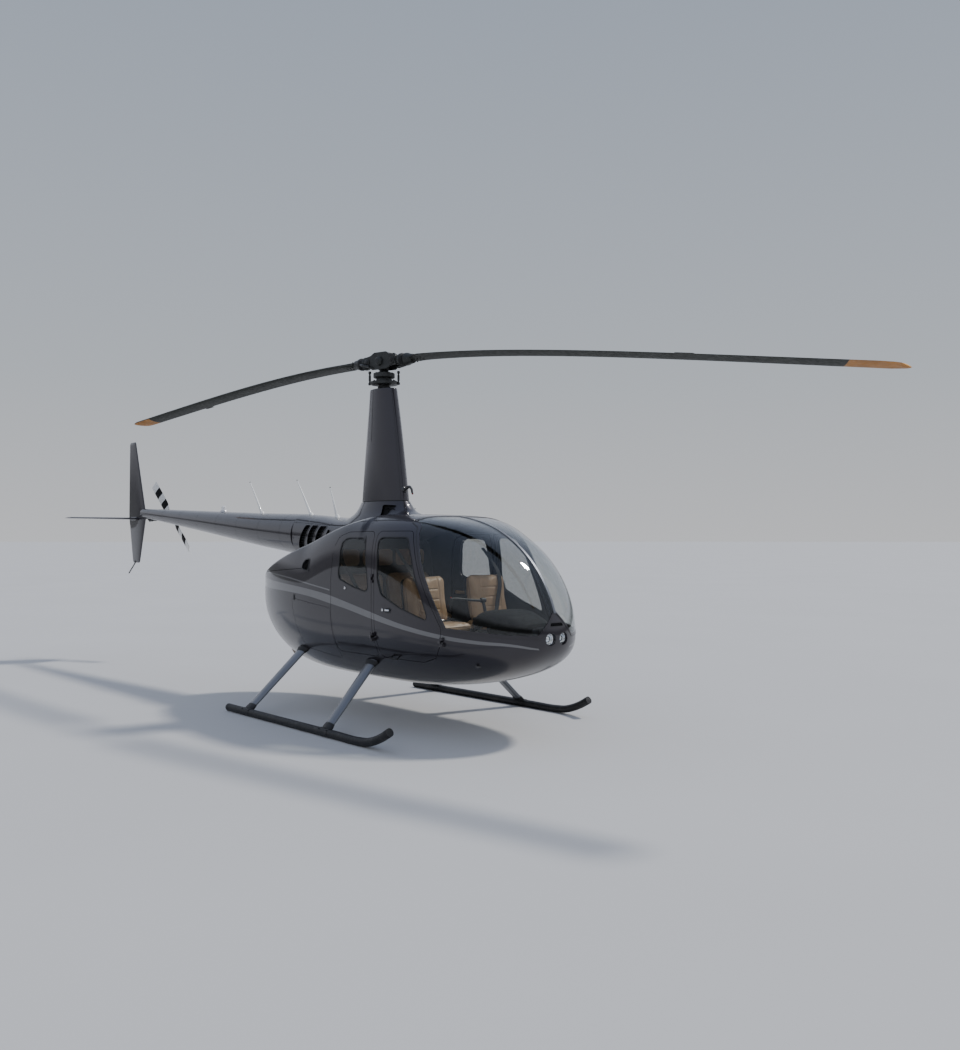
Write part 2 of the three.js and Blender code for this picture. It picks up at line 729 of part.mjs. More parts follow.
for (const [label, side] of [['right', RIGHT], ['left', LEFT]]) {
  add(`windshield_${label}`, glassShell.intersect(windshieldZone(side, GAP)), 0x9fb0b0, CLEAR);
  add(`front_door_${label}`, door(FRONT_DOOR, DOOR_AXES.front, FRONT_GLASS, side), PAINT);
  add(`front_door_glass_${label}`, glassShell.intersect(prism(FRONT_GLASS, side * 200, side * 1000)),
    0x9fb0b0, CLEAR);
  add(`rear_door_${label}`, door(REAR_DOOR, DOOR_AXES.rear, REAR_GLASS, side), PAINT);
  add(`rear_door_glass_${label}`, glassShell.intersect(prism(REAR_GLASS, side * 200, side * 1000)),
    0x9fb0b0, CLEAR);
  add(`front_seat_${label}`, seat(1020, 1500, side > 0 ? 120 : -600, side > 0 ? 600 : -120), TAN);
  add(`landing_lamp_${label}`, bar([LAMP.x - 50, side * LAMP.y, LAMP.z], [LAMP.x, side * LAMP.y, LAMP.z],
    LAMP.r, LAMP.r, 20), 0xe8e8e4);
  add(`skid_${label}`, skid(side), BLACK);
  add(`front_strut_${label}`, strut(STRUT_X.front, side), PAINT);
  add(`aft_strut_${label}`, strut(STRUT_X.aft, side), PAINT);
}
add('rear_seat', seat(-40, 420, -600, 600), TAN);
add('baggage_door', door(BAGGAGE_DOOR, DOOR_AXES.baggage, null, LEFT), PAINT);
add('instrument_console', console(), BLACK);
add('cyclic_stick', cyclic(), BLACK);
add('upper_cowling', upperCowling(), PAINT);
add('mast_fairing', mastFairing(), PAINT);
add('tail_boom', tailBoom(), PAINT);
add('vertical_fin', verticalFin(), PAINT);
add('horizontal_stabilizer', wing(STABILIZER, (s, x, z) => [x, s.at, 1955 + z])
  .subtract(verticalFin().translate([0, -GAP, 0])), PAINT);
add('tail_gearbox', tailGearbox(), BLACK);
add('tail_skid_rod', bar([-5940, 0, 1345], [-6180, 0, 1176], 9, 8, 8)
  .subtract(box(-6100, -5700, -50, 50, FIN[0].at - GAP, 1500)), BLACK);
add('exhaust_pipe', exhaust(), STEEL);
for (const a of ANTENNAS) {
  const seatOn = a.foot[0] > -1360 ? upperCowling() : tailBoom();
  add(a.name, antenna(a).subtract(seatOn).translate([0, 0, GAP]), 0xf2f2f0);
}
add('beacon', beacon().subtract(tailBoom()).translate([0, 0, GAP]), 0x8a2020);
add('pitot_tube', pitot().subtract(mastFairing()).translate([GAP, 0, 0]), BLACK);
add('rotor_mast', rotorMast(), STEEL);
add('swashplate', swashplate(), BLACK);
add('rotor_hub', rotorHub(), BLACK);
add('main_blade_forward', mainBlade(1), BLADE);
add('main_blade_aft', mainBlade(-1), BLADE);
add('tail_rotor_hub', tailHub(), BLACK);
add('tail_blade_upper', tailBlade(1), 0xeeeeec);
add('tail_blade_lower', tailBlade(-1), 0xeeeeec);

export default group;
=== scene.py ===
"""Light helicopter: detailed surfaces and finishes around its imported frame."""
import json
import math
from functools import cache

import bpy
import numpy as np
from bpy.props import FloatProperty, FloatVectorProperty, IntProperty, PointerProperty
from mathutils import Matrix, Vector
from mathutils.bvhtree import BVHTree

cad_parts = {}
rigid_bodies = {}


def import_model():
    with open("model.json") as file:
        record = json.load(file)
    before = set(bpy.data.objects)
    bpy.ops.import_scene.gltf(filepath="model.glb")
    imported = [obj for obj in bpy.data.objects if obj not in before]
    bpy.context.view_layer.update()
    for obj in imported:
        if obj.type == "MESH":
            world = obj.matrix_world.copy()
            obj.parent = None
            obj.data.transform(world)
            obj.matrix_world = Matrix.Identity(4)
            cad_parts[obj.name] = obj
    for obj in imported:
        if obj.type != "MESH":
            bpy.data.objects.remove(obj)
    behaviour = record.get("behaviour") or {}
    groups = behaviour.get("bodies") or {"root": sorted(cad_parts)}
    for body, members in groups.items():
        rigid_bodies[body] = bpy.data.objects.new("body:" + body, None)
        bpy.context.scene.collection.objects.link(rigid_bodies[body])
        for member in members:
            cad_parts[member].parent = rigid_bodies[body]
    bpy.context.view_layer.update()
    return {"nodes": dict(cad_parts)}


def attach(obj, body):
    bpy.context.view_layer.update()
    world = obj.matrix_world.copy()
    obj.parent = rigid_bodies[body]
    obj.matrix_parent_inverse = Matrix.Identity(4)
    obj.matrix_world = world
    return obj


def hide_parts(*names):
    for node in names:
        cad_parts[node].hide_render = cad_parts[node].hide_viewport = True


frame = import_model()

bl_info = {
    "name": "Light helicopter",
    "version": (1, 0, 0),
    "blender": (4, 5, 0),
    "location": "View3D > Sidebar > Helicopter",
    "description": "Builds the surfaces and finishes of a light helicopter around its frame",
    "category": "Add Mesh",
}

# Layout: metres from the rotor mast axis, +X to the nose, +Y to the left, +Z up.
# Every mesh is shifted by MAST_AT when it is made, which brings it into the frame.
MAST_AT = np.array([0.7092, 0.0, 0.0])
AIRFRAME = "airframe"
RIGHT, LEFT = -1, 1
SIGNS = (1, -1)
SIDES = (("right", RIGHT), ("left", LEFT))

NOSE_X, NOSE_Z = 2.330, 0.860
TAIL_X, TAIL_Z = -1.840, 1.230
POD_HALF_WIDTH = 0.737
ROOF_Z, BELLY_Z, WAIST_Z = 1.883, 0.345, 1.050
BULKHEAD_X = -0.130
FLOOR_Z = 0.590
DECK_X = (-1.84, -1.50, -1.19, -0.56, -0.03, 0.30, 0.50, 0.70)
DECK_Z = (1.232, 1.290, 1.372, 1.552, 1.698, 1.790, 1.850, 1.950)

TEETER_Z = 3.390
ROTOR_AZIMUTH, TEETER_REST = math.radians(4.26), math.radians(2.65)
ROTOR_RADIUS, BLADE_CHORD, BLADE_ROOT, BLADE_DROOP = 5.030, 0.254, 0.430, 0.432
TAIL_AXIS = np.array([-5.790, 0.455, 2.000])
TAIL_BLADE_ANGLE, TAIL_CHORD = math.radians(141), 0.130
SKID_Y = 1.145


def sizes():
    return bpy.context.scene.helicopter_sizes


def colours():
    return bpy.context.scene.helicopter_colours


# Curves and numbers


def smooth(a, b, x):
    t = np.clip((x - a) / (b - a), 0, 1)
    return t * t * (3 - 2 * t)


def cap(u, p, q):
    return np.maximum(1 - np.clip(u, 0, 1) ** p, 0) ** (1 / q)


def unit(v):
    v = np.asarray(v, float)
    return v / np.maximum(np.linalg.norm(v, axis=-1, keepdims=True), 1e-12)


def mm(*rows):
    """Rows of millimetres as rows of metres."""
    return [tuple(value / 1000 for value in row) for row in rows]


def stacked(*parts):
    """Points from their coordinates, each of them one number or one per point."""
    return np.stack(np.broadcast_arrays(*parts), -1)


def circle(count):
    return np.linspace(0, 2 * math.pi, count, endpoint=False)


def spoke(angle):
    return math.cos(angle), math.sin(angle)


def spokes(count, start=0.0):
    """Cosine and sine of evenly spaced angles."""
    return [spoke(angle + start) for angle in circle(count)]


def spline(knots, values, x):
    """Smooth curve through the values at the knots, read at x."""
    knots, values, x = (np.asarray(v, float) for v in (knots, values, x))
    slope = np.gradient(values, knots)
    x = np.clip(x, knots[0], knots[-1])
    i = np.clip(np.searchsorted(knots, x) - 1, 0, len(knots) - 2)
    h = knots[i + 1] - knots[i]
    t = (x - knots[i]) / h
    start = (1 + 2 * t) * (1 - t) ** 2 * values[i] + t * (1 - t) ** 2 * h * slope[i]
    end = t * t * (3 - 2 * t) * values[i + 1] + t * t * (t - 1) * h * slope[i + 1]
    return start + end


def curve_through(points, count):
    """Smooth path of count points through a few given ones."""
    points = np.asarray(points, float)
    run = np.r_[0, np.cumsum(np.linalg.norm(np.diff(points, axis=0), axis=1))]
    at = np.linspace(0, run[-1], count)
    return np.stack([spline(run, points[:, k], at) for k in range(3)], 1)


def rounded(corners, radius, steps=6):
    """Outline with each corner turned into an arc that touches both of its sides."""
    corners = np.asarray(corners, float)
    out = []
    for before, here, after in zip(np.roll(corners, 1, 0), corners, np.roll(corners, -1, 0)):
        to_before, to_after = before - here, after - here
        lengths = np.linalg.norm(to_before), np.linalg.norm(to_after)
        a, b = to_before / lengths[0], to_after / lengths[1]
        half = 0.5 * math.acos(np.clip(a @ b, -1, 1))
        if half > 1.54:
            out.append(here)
            continue
        reach = min(radius / math.tan(half), 0.45 * min(lengths))
        middle = here + unit(a + b) * reach / math.cos(half)
        first, last = here + a * reach, here + b * reach
        for t in np.linspace(0, 1, steps):
            way = unit((first - middle) * (1 - t) + (last - middle) * t)
            out.append(middle + way * np.linalg.norm(first - middle))
    return np.array(out)


class Outline:
    """Closed outline with rounded corners in millimetres, seen along one axis."""

    def __init__(self, corners, radius, axes=(0, 2), folded=False):
        self.points = rounded(np.divide(corners, 1000), radius / 1000)
        self.axes, self.folded = axes, folded

    def far(self, points):
        """Distance to the outline, below zero inside it."""
        p = points[:, list(self.axes)]
        if self.folded:
            p = np.abs(p) * [1, 0] + p * [0, 1]
        low, high = self.points.min(0), self.points.max(0)
        off = np.maximum(np.maximum(low - p, p - high), 0)
        far = np.hypot(off[:, 0], off[:, 1])
        near = far < 0.1
        far[near] = self.exact(p[near])
        return far

    def exact(self, p):
        best = np.full(len(p), 1e9)
        inside = np.zeros(len(p), bool)
        for a, b in zip(self.points, np.roll(self.points, -1, 0)):
            side = b - a
            t = np.clip(((p - a) @ side) / max(side @ side, 1e-18), 0, 1)
            best = np.minimum(best, np.linalg.norm(p - a - t[:, None] * side, axis=1))
            crosses = (a[1] > p[:, 1]) != (b[1] > p[:, 1])
            rise = side[1] if side[1] else 1e-18
            inside ^= crosses & (p[:, 0] < a[0] + side[0] * (p[:, 1] - a[1]) / rise)
        return np.where(inside, -best, best)


# Pod: rings of two half superellipses, cut above by the sloping deck


def section(x):
    width = POD_HALF_WIDTH * cap((x - 0.6) / (NOSE_X - 0.6), 3.0, 2.1) * cap(x / TAIL_X, 2.4, 1.9)
    waist = (WAIST_Z + (NOSE_Z - WAIST_Z) * smooth(0.5, NOSE_X, x)
             + (TAIL_Z - 0.13 - WAIST_Z) * smooth(0, TAIL_X, x))
    rise = (ROOF_Z - waist) * cap((x - 0.5) / (NOSE_X - 0.5), 2.8, 1.8)
    ends = cap((x - 0.4) / (NOSE_X - 0.4), 2.5, 2.1) * cap((-0.1 - x) / (-0.1 - TAIL_X), 3.2, 1.6)
    drop = (waist - BELLY_Z) * ends
    upper = (3.0 - 0.7 * smooth(0.8, NOSE_X, x)
             + 2.5 * smooth(-0.4, 0.4, x) * (1 - smooth(0.7, 1.7, x)))
    lower = 2.35 - 0.25 * smooth(0.4, TAIL_X, x)
    deck = sum(np.interp(x + k, DECK_X, DECK_Z) for k in (-0.08, -0.04, 0, 0.04, 0.08)) / 5
    return width, waist, rise, drop, upper, lower, deck


def pod_radii(x, angle):
    """Distances from the waist line to the side curve and to the deck, at an angle from +Y up."""
    width, waist, rise, drop, upper, lower, deck = section(x)
    c, s = np.cos(angle), np.sin(angle)
    high = s > 0
    height = np.maximum(np.where(high, rise, drop), 1e-6)
    power = np.where(high, upper, lower)
    width = np.maximum(width, 1e-6)
    side = ((np.abs(c) / width) ** power + (np.abs(s) / height) ** power) ** (-1 / power)
    share = np.clip((deck - waist) / np.maximum(rise, 1e-6), 0, 1)
    edge = width * (1 - share ** upper) ** (1 / upper)
    crown = np.clip(waist + rise - deck, 0, 0.045)
    bend = np.where(edge > 1e-4, crown * c * c / np.maximum(edge, 1e-4) ** 2, 0)
    level = np.maximum(deck + crown - waist, 1e-6)
    flat = 2 * level / np.maximum(s + np.sqrt(s * s + 4 * bend * level), 1e-6)
    return side, np.where(high, flat, 9.0), waist


def pod_point(x, angle):
    CREASE = 0.032
    side, flat, waist = pod_radii(x, angle)
    h = np.maximum(CREASE - np.abs(side - flat), 0) / CREASE
    r = np.minimum(side, flat) - h * h * CREASE / 4
    return stacked(x, r * np.cos(angle), waist + r * np.sin(angle))


def station(turn):
    """Station x for a turn from -1 at the tail to 1 at the nose, closer together at both ends."""
    return (NOSE_X + TAIL_X) / 2 + (NOSE_X - TAIL_X) / 2 * np.sin(turn * math.pi / 2)


def turn_at(x):
    """Turn of a station, the reverse of station."""
    return np.arcsin((2 * x - NOSE_X - TAIL_X) / (NOSE_X - TAIL_X)) / (math.pi / 2)


def pod_way_out(turn, angle):
    """Outward direction of the pod's left half."""
    turn = np.clip(turn, -0.995, 0.995)
    e = 1e-3
    along = pod_point(station(turn + e), angle) - pod_point(station(turn - e), angle)
    around = pod_point(station(turn), angle + e) - pod_point(station(turn), angle - e)
    return unit(np.cross(around, along))


def pod_at(x, z, side):
    """Point and outward direction on the pod's side at x and z."""
    x, z = np.broadcast_arrays(np.asarray(x, float), np.asarray(z, float))
    low, high = np.full(x.shape, -1.57), np.full(x.shape, 1.57)
    for _ in range(30):
        middle = (low + high) / 2
        under = pod_point(x, middle)[..., 2] < z
        low, high = np.where(under, middle, low), np.where(under, high, middle)
    mirror = np.array([1, side, 1])
    return pod_point(x, low) * mirror, pod_way_out(turn_at(x), low) * mirror


def axes_at(x, z, side):
    """Point on the pod's side with its outward, forward and upward directions."""
    at, way = pod_at(x, z, side)
    fore = unit(np.array([1.0, 0, 0]) - way * way[0])
    return at, way, fore, np.cross(way, fore)


def above_pod(points):
    """How far points stand out of the pod's surface, measured from its waist line."""
    x = np.clip(points[:, 0], TAIL_X + 1e-3, NOSE_X - 1e-3)
    waist = section(x)[1]
    y, z = np.abs(points[:, 1]), points[:, 2] - waist
    angle = np.arctan2(z, y)
    surface = pod_point(x, angle)
    return np.hypot(y, z) - np.hypot(surface[:, 1], surface[:, 2] - waist)


# Meshes


def grid_faces(rows, columns, closed=True):
    j = np.arange(columns if closed else columns - 1)
    i = np.arange(rows - 1)[:, None]
    a, b = i * columns + j, i * columns + (j + 1) % columns
    return np.stack([a, b, b + columns, a + columns], -1).reshape(-1, 4)


def flat_faces(faces):
    """Corner numbers of all the faces in one row, and where each face starts."""
    lengths = np.fromiter((len(f) for f in faces), int, len(faces))
    corners = np.fromiter((i for f in faces for i in f), int, lengths.sum())
    return corners, np.r_[0, np.cumsum(lengths)[:-1]], lengths


class Skin:
    """Open surface with its outward directions, cut into zones before it gets a thickness."""

    def __init__(self, points, ways, faces):
        self.points, self.ways, self.faces = points, ways, faces

    def centres(self):
        corners, starts, lengths = flat_faces(self.faces)
        return np.add.reduceat(self.points[corners], starts) / lengths[:, None]

    def split(self, *measures):
        """Cut the faces along the zero line of each measure and keep both sides."""
        skin = self
        for measure in measures:
            skin = skin.split_once(measure)
        return skin

    def split_once(self, measure):
        ON_LINE = 3e-5
        far = measure(self.points)
        far = np.where(np.abs(far) < ON_LINE, ON_LINE, far)
        corners, starts, lengths = flat_faces(self.faces)
        ups = np.add.reduceat((far > 0)[corners].astype(int), starts)
        crossing = (ups > 0) & (ups < lengths)
        faces = [f for f, cut in zip(self.faces, crossing) if not cut]
        points, ways, far = list(self.points), list(self.ways), list(far)
        made = {}

        def meet(a, b):
            key = (a, b) if a < b else (b, a)
            if key not in made:
                a, b = key
                t = far[a] / (far[a] - far[b])
                made[key] = len(points)
                points.append(points[a] * (1 - t) + points[b] * t)
                ways.append(unit(ways[a] * (1 - t) + ways[b] * t))
                far.append(0.0)
            return made[key]

        for index in np.flatnonzero(crossing):
            face = list(self.faces[index])
            changes = sum((far[a] > 0) != (far[b] > 0) for a, b in zip(face, face[1:] + face[:1]))
            parts = [face]
            if changes > 2:
                middle = len(points)
                points.append(np.mean([points[i] for i in face], 0))
                ways.append(unit(np.sum([ways[i] for i in face], 0)))
                far.append(float(measure(points[-1][None])[0]) or ON_LINE)
                parts = [[a, b, middle] for a, b in zip(face, face[1:] + face[:1])]
            for part in parts:
                high, low = [], []
                for a, b in zip(part, part[1:] + part[:1]):
                    (high if far[a] > 0 else low).append(a)
                    if (far[a] > 0) != (far[b] > 0):
                        m = meet(a, b)
                        high.append(m)
                        low.append(m)
                faces += [f for f in (high, low) if len(f) > 2]
        return Skin(np.array(points), np.array(ways), faces)

    def pick(self, wanted):
        """The faces whose centres are wanted."""
        keep = wanted(self.centres())
        faces = [f for f, k in zip(self.faces, keep) if k]
        if not faces:
            raise RuntimeError("no face of the skin is left")
        corners, starts, lengths = flat_faces(faces)
        used, new = np.unique(corners, return_inverse=True)
        faces = [new[s:s + n].tolist() for s, n in zip(starts, lengths)]
        return Skin(self.points[used], self.ways[used], faces)

    def plate(self, shape, lift, depth, finish=0, inner=None, rim=None):
        """Add the skin as a closed plate, from lift above its surface to depth below it."""
        count, n = len(self.points), len(self.faces)
        corners, starts, lengths = flat_faces(self.faces)
        following = np.r_[corners[1:], 0]
        following[starts + lengths - 1] = corners[starts]
        forward, back = corners * count + following, following * count + corners
        open_edge = ~np.isin(forward, back)
        a, b = corners[open_edge], following[open_edge]
        rims = np.stack([b, a, a + count, b + count], 1).tolist()
        faces = list(self.faces) + [[i + count for i in reversed(f)] for f in self.faces] + rims
        finish = np.broadcast_to(finish, n)
        inner = finish if inner is None else np.full(n, inner)
        rim = np.full(len(rims), finish[0] if rim is None else rim)
        points = np.vstack([self.points + self.ways * lift, self.points - self.ways * depth])
        shape.put(points, faces, np.r_[finish, inner, rim], np.vstack([self.ways, -self.ways]), 2 * n)


def surface_of(rows, closed=True):
    """Skin over a grid of points that runs around first and then along."""
    around = (np.roll(rows, -1, 1) - np.roll(rows, 1, 1)) if closed else np.gradient(rows, axis=1)
    ways = unit(np.cross(around, np.gradient(rows, axis=0)))
    faces = grid_faces(rows.shape[0], rows.shape[1], closed).tolist()
    return Skin(rows.reshape(-1, 3), ways.reshape(-1, 3), faces)


class Shape:
    """Closed bodies of one piece, with a finish number for each face."""

    def __init__(self, move=None):
        self.points, self.faces, self.finish, self.ways, self.exact = [], [], [], [], []
        self.count, self.move = 0, move

    def put(self, points, faces, finish, ways=None, exact=0):
        self.points.append(points)
        self.faces += [[i + self.count for i in f] for f in faces]
        self.finish.append(np.broadcast_to(finish, len(faces)))
        self.ways.append(np.zeros_like(points) if ways is None else ways)
        self.exact.append(np.arange(len(faces)) < exact)
        self.count += len(points)

    def add(self, body, finish=0, move=None):
        """Add a closed body or a list of them, turned to face outwards and moved by a 4 x 4 matrix."""
        if isinstance(body, list):
            for one in body:
                self.add(one, finish, move)
            return self
        points, faces = body
        points = np.asarray(points, float)
        move = self.move if move is None else move
        if move is not None:
            points = points @ move[:3, :3].T + move[:3, 3]
        volume = 0.0
        middle = points.mean(0)
        for size in {len(f) for f in faces}:
            p = points[np.array([f for f in faces if len(f) == size])] - middle
            for k in range(1, size - 1):
                volume += np.einsum("ij,ij->i", p[:, 0], np.cross(p[:, k], p[:, k + 1])).sum()
        if volume < 0:
            faces = [list(reversed(f)) for f in faces]
        self.put(points, [list(f) for f in faces], finish)
        return self


def build(name, shape, finishes, nodes="", body=AIRFRAME, sharp=38):
    """Make the piece's object, and let it ride on its body and stand for its nodes."""
    mesh = bpy.data.meshes.new(name)
    points = np.vstack(shape.points) + MAST_AT
    mesh.from_pydata(points.tolist(), [], shape.faces)
    for key in finishes.split():
        mesh.materials.append(finish(key))
    mesh.polygons.foreach_set("material_index", np.concatenate(shape.finish).astype(np.int32))
    mesh.polygons.foreach_set("use_smooth", np.ones(len(mesh.polygons), bool))
    mesh.update()
    mesh.set_sharp_from_angle(angle=math.radians(sharp))
    exact = np.concatenate(shape.exact)
    if exact.any():
        corners = np.empty(len(mesh.loops), np.int32)
        mesh.loops.foreach_get("vertex_index", corners)
        totals = np.empty(len(mesh.polygons), np.int32)
        mesh.polygons.foreach_get("loop_total", totals)
        ways = np.vstack(shape.ways)[corners]
        ways[~np.repeat(exact, totals)] = 0
        mesh.normals_split_custom_set(ways)
    return place(bpy.data.objects.new(name, mesh), body, nodes.split())


def place(piece, body, replaces=()):
    if piece.name not in bpy.context.scene.collection.objects:
        bpy.context.scene.collection.objects.link(piece)
    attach(piece, body)
    if replaces:
        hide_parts(*replaces)
    return piece


# Bodies: each gives points and faces. Places and paths are in metres; the radii, profiles, sizes and
# edges of rods, tubes, turned bodies, slabs, bolts and studs are in millimetres.


def loft(rings, caps=True):
    rings = np.asarray(rings, float)
    rows, columns = rings.shape[:2]
    faces = grid_faces(rows, columns).tolist()
    if caps:
        last = (rows - 1) * columns
        faces += [list(range(columns - 1, -1, -1)), list(range(last, last + columns))]
    return rings.reshape(-1, 3), faces


def hoop(rings):
    """Body whose last ring is joined to its first."""
    rings = np.asarray(rings, float)
    rows, columns = rings.shape[:2]
    last = (rows - 1) * columns
    turn = [[last + j, last + (j + 1) % columns, (j + 1) % columns, j] for j in range(columns)]
    return rings.reshape(-1, 3), grid_faces(rows, columns).tolist() + turn


def across(way):
    """Two directions at right angles to a way and to each other."""
    way = unit(way)
    first = unit(np.cross(way, [0, 0, 1] if abs(way[2]) < 0.9 else [1, 0, 0]))
    return first, np.cross(way, first)


def ring_in(u, v, sides, flat=1.0):
    """Unit circle in the plane of u and v, thinned along v."""
    turn = circle(sides)
    return np.cos(turn)[:, None] * u + flat * np.sin(turn)[:, None] * v


def turned_rings(start, end, profile, sides):
    start, way = np.asarray(start, float), unit(np.subtract(end, start))
    ring = ring_in(*across(way), sides)
    return [start + way * (t / 1000) + ring * max(r / 1000, 2e-4) for t, r in profile]


def lathe(start, end, profile, sides=32):
    """Turned body on the line from start to end; the profile holds distance and radius."""
    return loft(turned_rings(start, end, profile, sides))


def rod(start, end, radius, edge=None, sides=20):
    """Round bar with softened ends."""
    length = np.linalg.norm(np.subtract(end, start)) * 1000
    edge = min(0.25 * radius, 0.3 * length) if edge is None else edge
    rise = [(0, radius - edge), (edge * 0.3, radius - edge * 0.3), (edge, radius)]
    return lathe(start, end, rise + [(length - t, r) for t, r in rise[::-1]], sides)


def tube(path, radius, sides=14, up=None, flat=1.0):
    """Tube along a path; flat thins it along its second direction."""
    path = np.asarray(path, float)
    ways = unit(np.gradient(path, axis=0))
    u = across(ways[0])[0] if up is None else unit(np.cross(up, ways[0]))
    rings = []
    for point, way, r in zip(path, ways, np.broadcast_to(np.divide(radius, 1000), len(path))):
        u = unit(u - way * (u @ way))
        rings.append(point + r * ring_in(u, np.cross(way, u), sides, flat))
    return loft(rings)


def inset(outline, d):
    """Outline moved inwards by d."""
    area = np.sum(outline[:, 0] * np.roll(outline[:, 1], -1) - np.roll(outline[:, 0], -1) * outline[:, 1])
    side = unit(np.roll(outline, -1, 0) - outline) * np.sign(area)
    out = np.stack([side[:, 1], -side[:, 0]], 1)
    both = unit(out + np.roll(out, 1, 0))
    return outline - both * d


def plate(outline, at, u, v, thickness, edge):
    """Flat plate over an outline in the plane of u and v, rising from at along u x v."""
    u, v = unit(u), unit(v)
    w = np.cross(u, v)
    rings = []
    for d, h in ((edge, 0), (0, edge), (0, thickness - edge), (edge, thickness)):
        flat = inset(np.asarray(outline, float), d)
        rings.append(np.asarray(at) + flat[:, :1] * u + flat[:, 1:] * v + h * w)
    return loft(rings)


def slab(middle, size, edge, corner=None, u=(1, 0, 0), v=(0, 1, 0)):
    """Box with soft edges around its middle."""
    u, v = unit(u), unit(v)
    (length, width, height), edge = np.divide(size, 1000), edge / 1000
    a, b = length / 2, width / 2
    outline = rounded([(-a, -b), (a, -b), (a, b), (-a, b)], edge if corner is None else corner / 1000, 4)
    at = np.asarray(middle, float) - np.cross(u, v) * height / 2
    return plate(outline, at, u, v, height, edge)


def bolt(at, way, radius, height):
    u, v = across(way)
    hexagon = stacked(np.cos(circle(6)), np.sin(circle(6))) * (radius / 1000)
    return plate(hexagon, at, u, v, height / 1000, height / 1000 * 0.15)


def studs(points, ways, radius=4, height=1.8):
    """Low round screw heads on a surface, as one list of bodies."""
    head = [(0, radius), (1 + height * 0.5, radius), (1 + height, radius * 0.55)]
    return [lathe(p - w * 0.001, p + w, head, 8) for p, w in zip(points, ways)]


WING_STEPS = 13


def wing_height(u):
    """Height of a unit wing section, from -1 to 1, at a share of its chord."""
    return 10 * (0.2969 * np.sqrt(u) - 0.126 * u - 0.3516 * u ** 2 + 0.2843 * u ** 3 - 0.1015 * u ** 4)


def wing_profile():
    """Closed wing section of a unit chord: distance behind the nose, and height from -1 to 1."""
    u = (1 - np.cos(np.linspace(0, math.pi, WING_STEPS))) / 2
    t = wing_height(u)
    t[-1] = 0.06
    return np.r_[u, u[-2:0:-1]], np.r_[t, -t[-2:0:-1]]


def wing(stations, place_at):
    """Loft of wing sections; each station gives a place, nose, chord and thickness."""
    u, t = wing_profile()
    return [place_at(at, nose - u * chord, t * thick) for at, nose, chord, thick in stations]


# Finishes


class Finish:
    """Node material of one finish, built on a Principled shader and the frame's own coordinates."""

    def __init__(self, name, colour, rough=0.5, metal=0.0, **sockets):
        self.material = bpy.data.materials.new(name)
        self.material.use_nodes = True
        self.tree = self.material.node_tree
        self.shader = next(n for n in self.tree.nodes if n.type == "BSDF_PRINCIPLED")
        self.where = self.node("ShaderNodeTexCoord").outputs["Object"]
        self.colour = tuple(colour)
        self.set("Base Color", (*self.colour, 1))
        self.set("Roughness", rough)
        self.set("Metallic", metal)
        for key, value in sockets.items():
            self.set(key.replace("_", " "), value)

    def set(self, socket, value):
        target = self.shader.inputs[socket]
        if isinstance(value, bpy.types.NodeSocket):
            self.tree.links.new(value, target)
        else:
            target.default_value = value
        return self

    def node(self, kind, inputs=(), **settings):
        node = self.tree.nodes.new(kind)
        for key, value in settings.items():
            setattr(node, key, value)
        for key, value in dict(inputs).items():
            if isinstance(value, bpy.types.NodeSocket):
                self.tree.links.new(value, node.inputs[key])
            else:
                node.inputs[key].default_value = value
        return node

    def stretched(self, scale):
        return self.node("ShaderNodeMapping", {"Vector": self.where, "Scale": scale}).outputs[0]

    def noise(self, scale, detail=3.0, stretch=None):
        where = self.stretched(stretch) if stretch else self.where
        inputs = {"Vector": where, "Scale": scale, "Detail": detail}
        return self.node("ShaderNodeTexNoise", inputs).outputs["Fac"]

    def cells(self, scale, feature="F1", stretch=None):
        where = self.stretched(stretch) if stretch else self.where
        inputs = {"Vector": where, "Scale": scale}
        return self.node("ShaderNodeTexVoronoi", inputs, feature=feature).outputs["Distance"]

    def waves(self, scale, stretch=(1, 1, 1), distortion=0.0, direction="X"):
        inputs = {"Vector": self.stretched(stretch), "Scale": scale, "Distortion": distortion}
        return self.node("ShaderNodeTexWave", inputs, bands_direction=direction).outputs["Fac"]

    def ranged(self, value, low, high, start=0.3, end=0.7):
        inputs = {"Value": value, "From Min": start, "From Max": end, "To Min": low, "To Max": high}
        return self.node("ShaderNodeMapRange", inputs).outputs[0]

    def maths(self, operation, a, b=0.0):
        return self.node("ShaderNodeMath", {0: a, 1: b}, operation=operation).outputs[0]

    def axis(self, name):
        return self.node("ShaderNodeSeparateXYZ", {0: self.where}).outputs[name]

    def mixed(self, share, first, second):
        first = first if isinstance(first, bpy.types.NodeSocket) else (*first, 1)
        second = second if isinstance(second, bpy.types.NodeSocket) else (*second, 1)
        node = self.node("ShaderNodeMix", {0: share, 6: first, 7: second}, data_type="RGBA")
        return node.outputs[2]

    def tinted(self, share, low=0.75, high=1.2):
        """The colour, darker and lighter by share."""
        dark = tuple(c * low for c in self.colour)
        light = tuple(min(c * high, 1) for c in self.colour)
        return self.mixed(share, dark, light)

    def bump(self, height, distance, strength=1.0, under=None):
        inputs = {"Height": height, "Distance": distance, "Strength": strength}
        if under is not None:
            inputs["Normal"] = under
        normal = self.node("ShaderNodeBump", inputs).outputs[0]
        self.set("Normal", normal)
        return normal


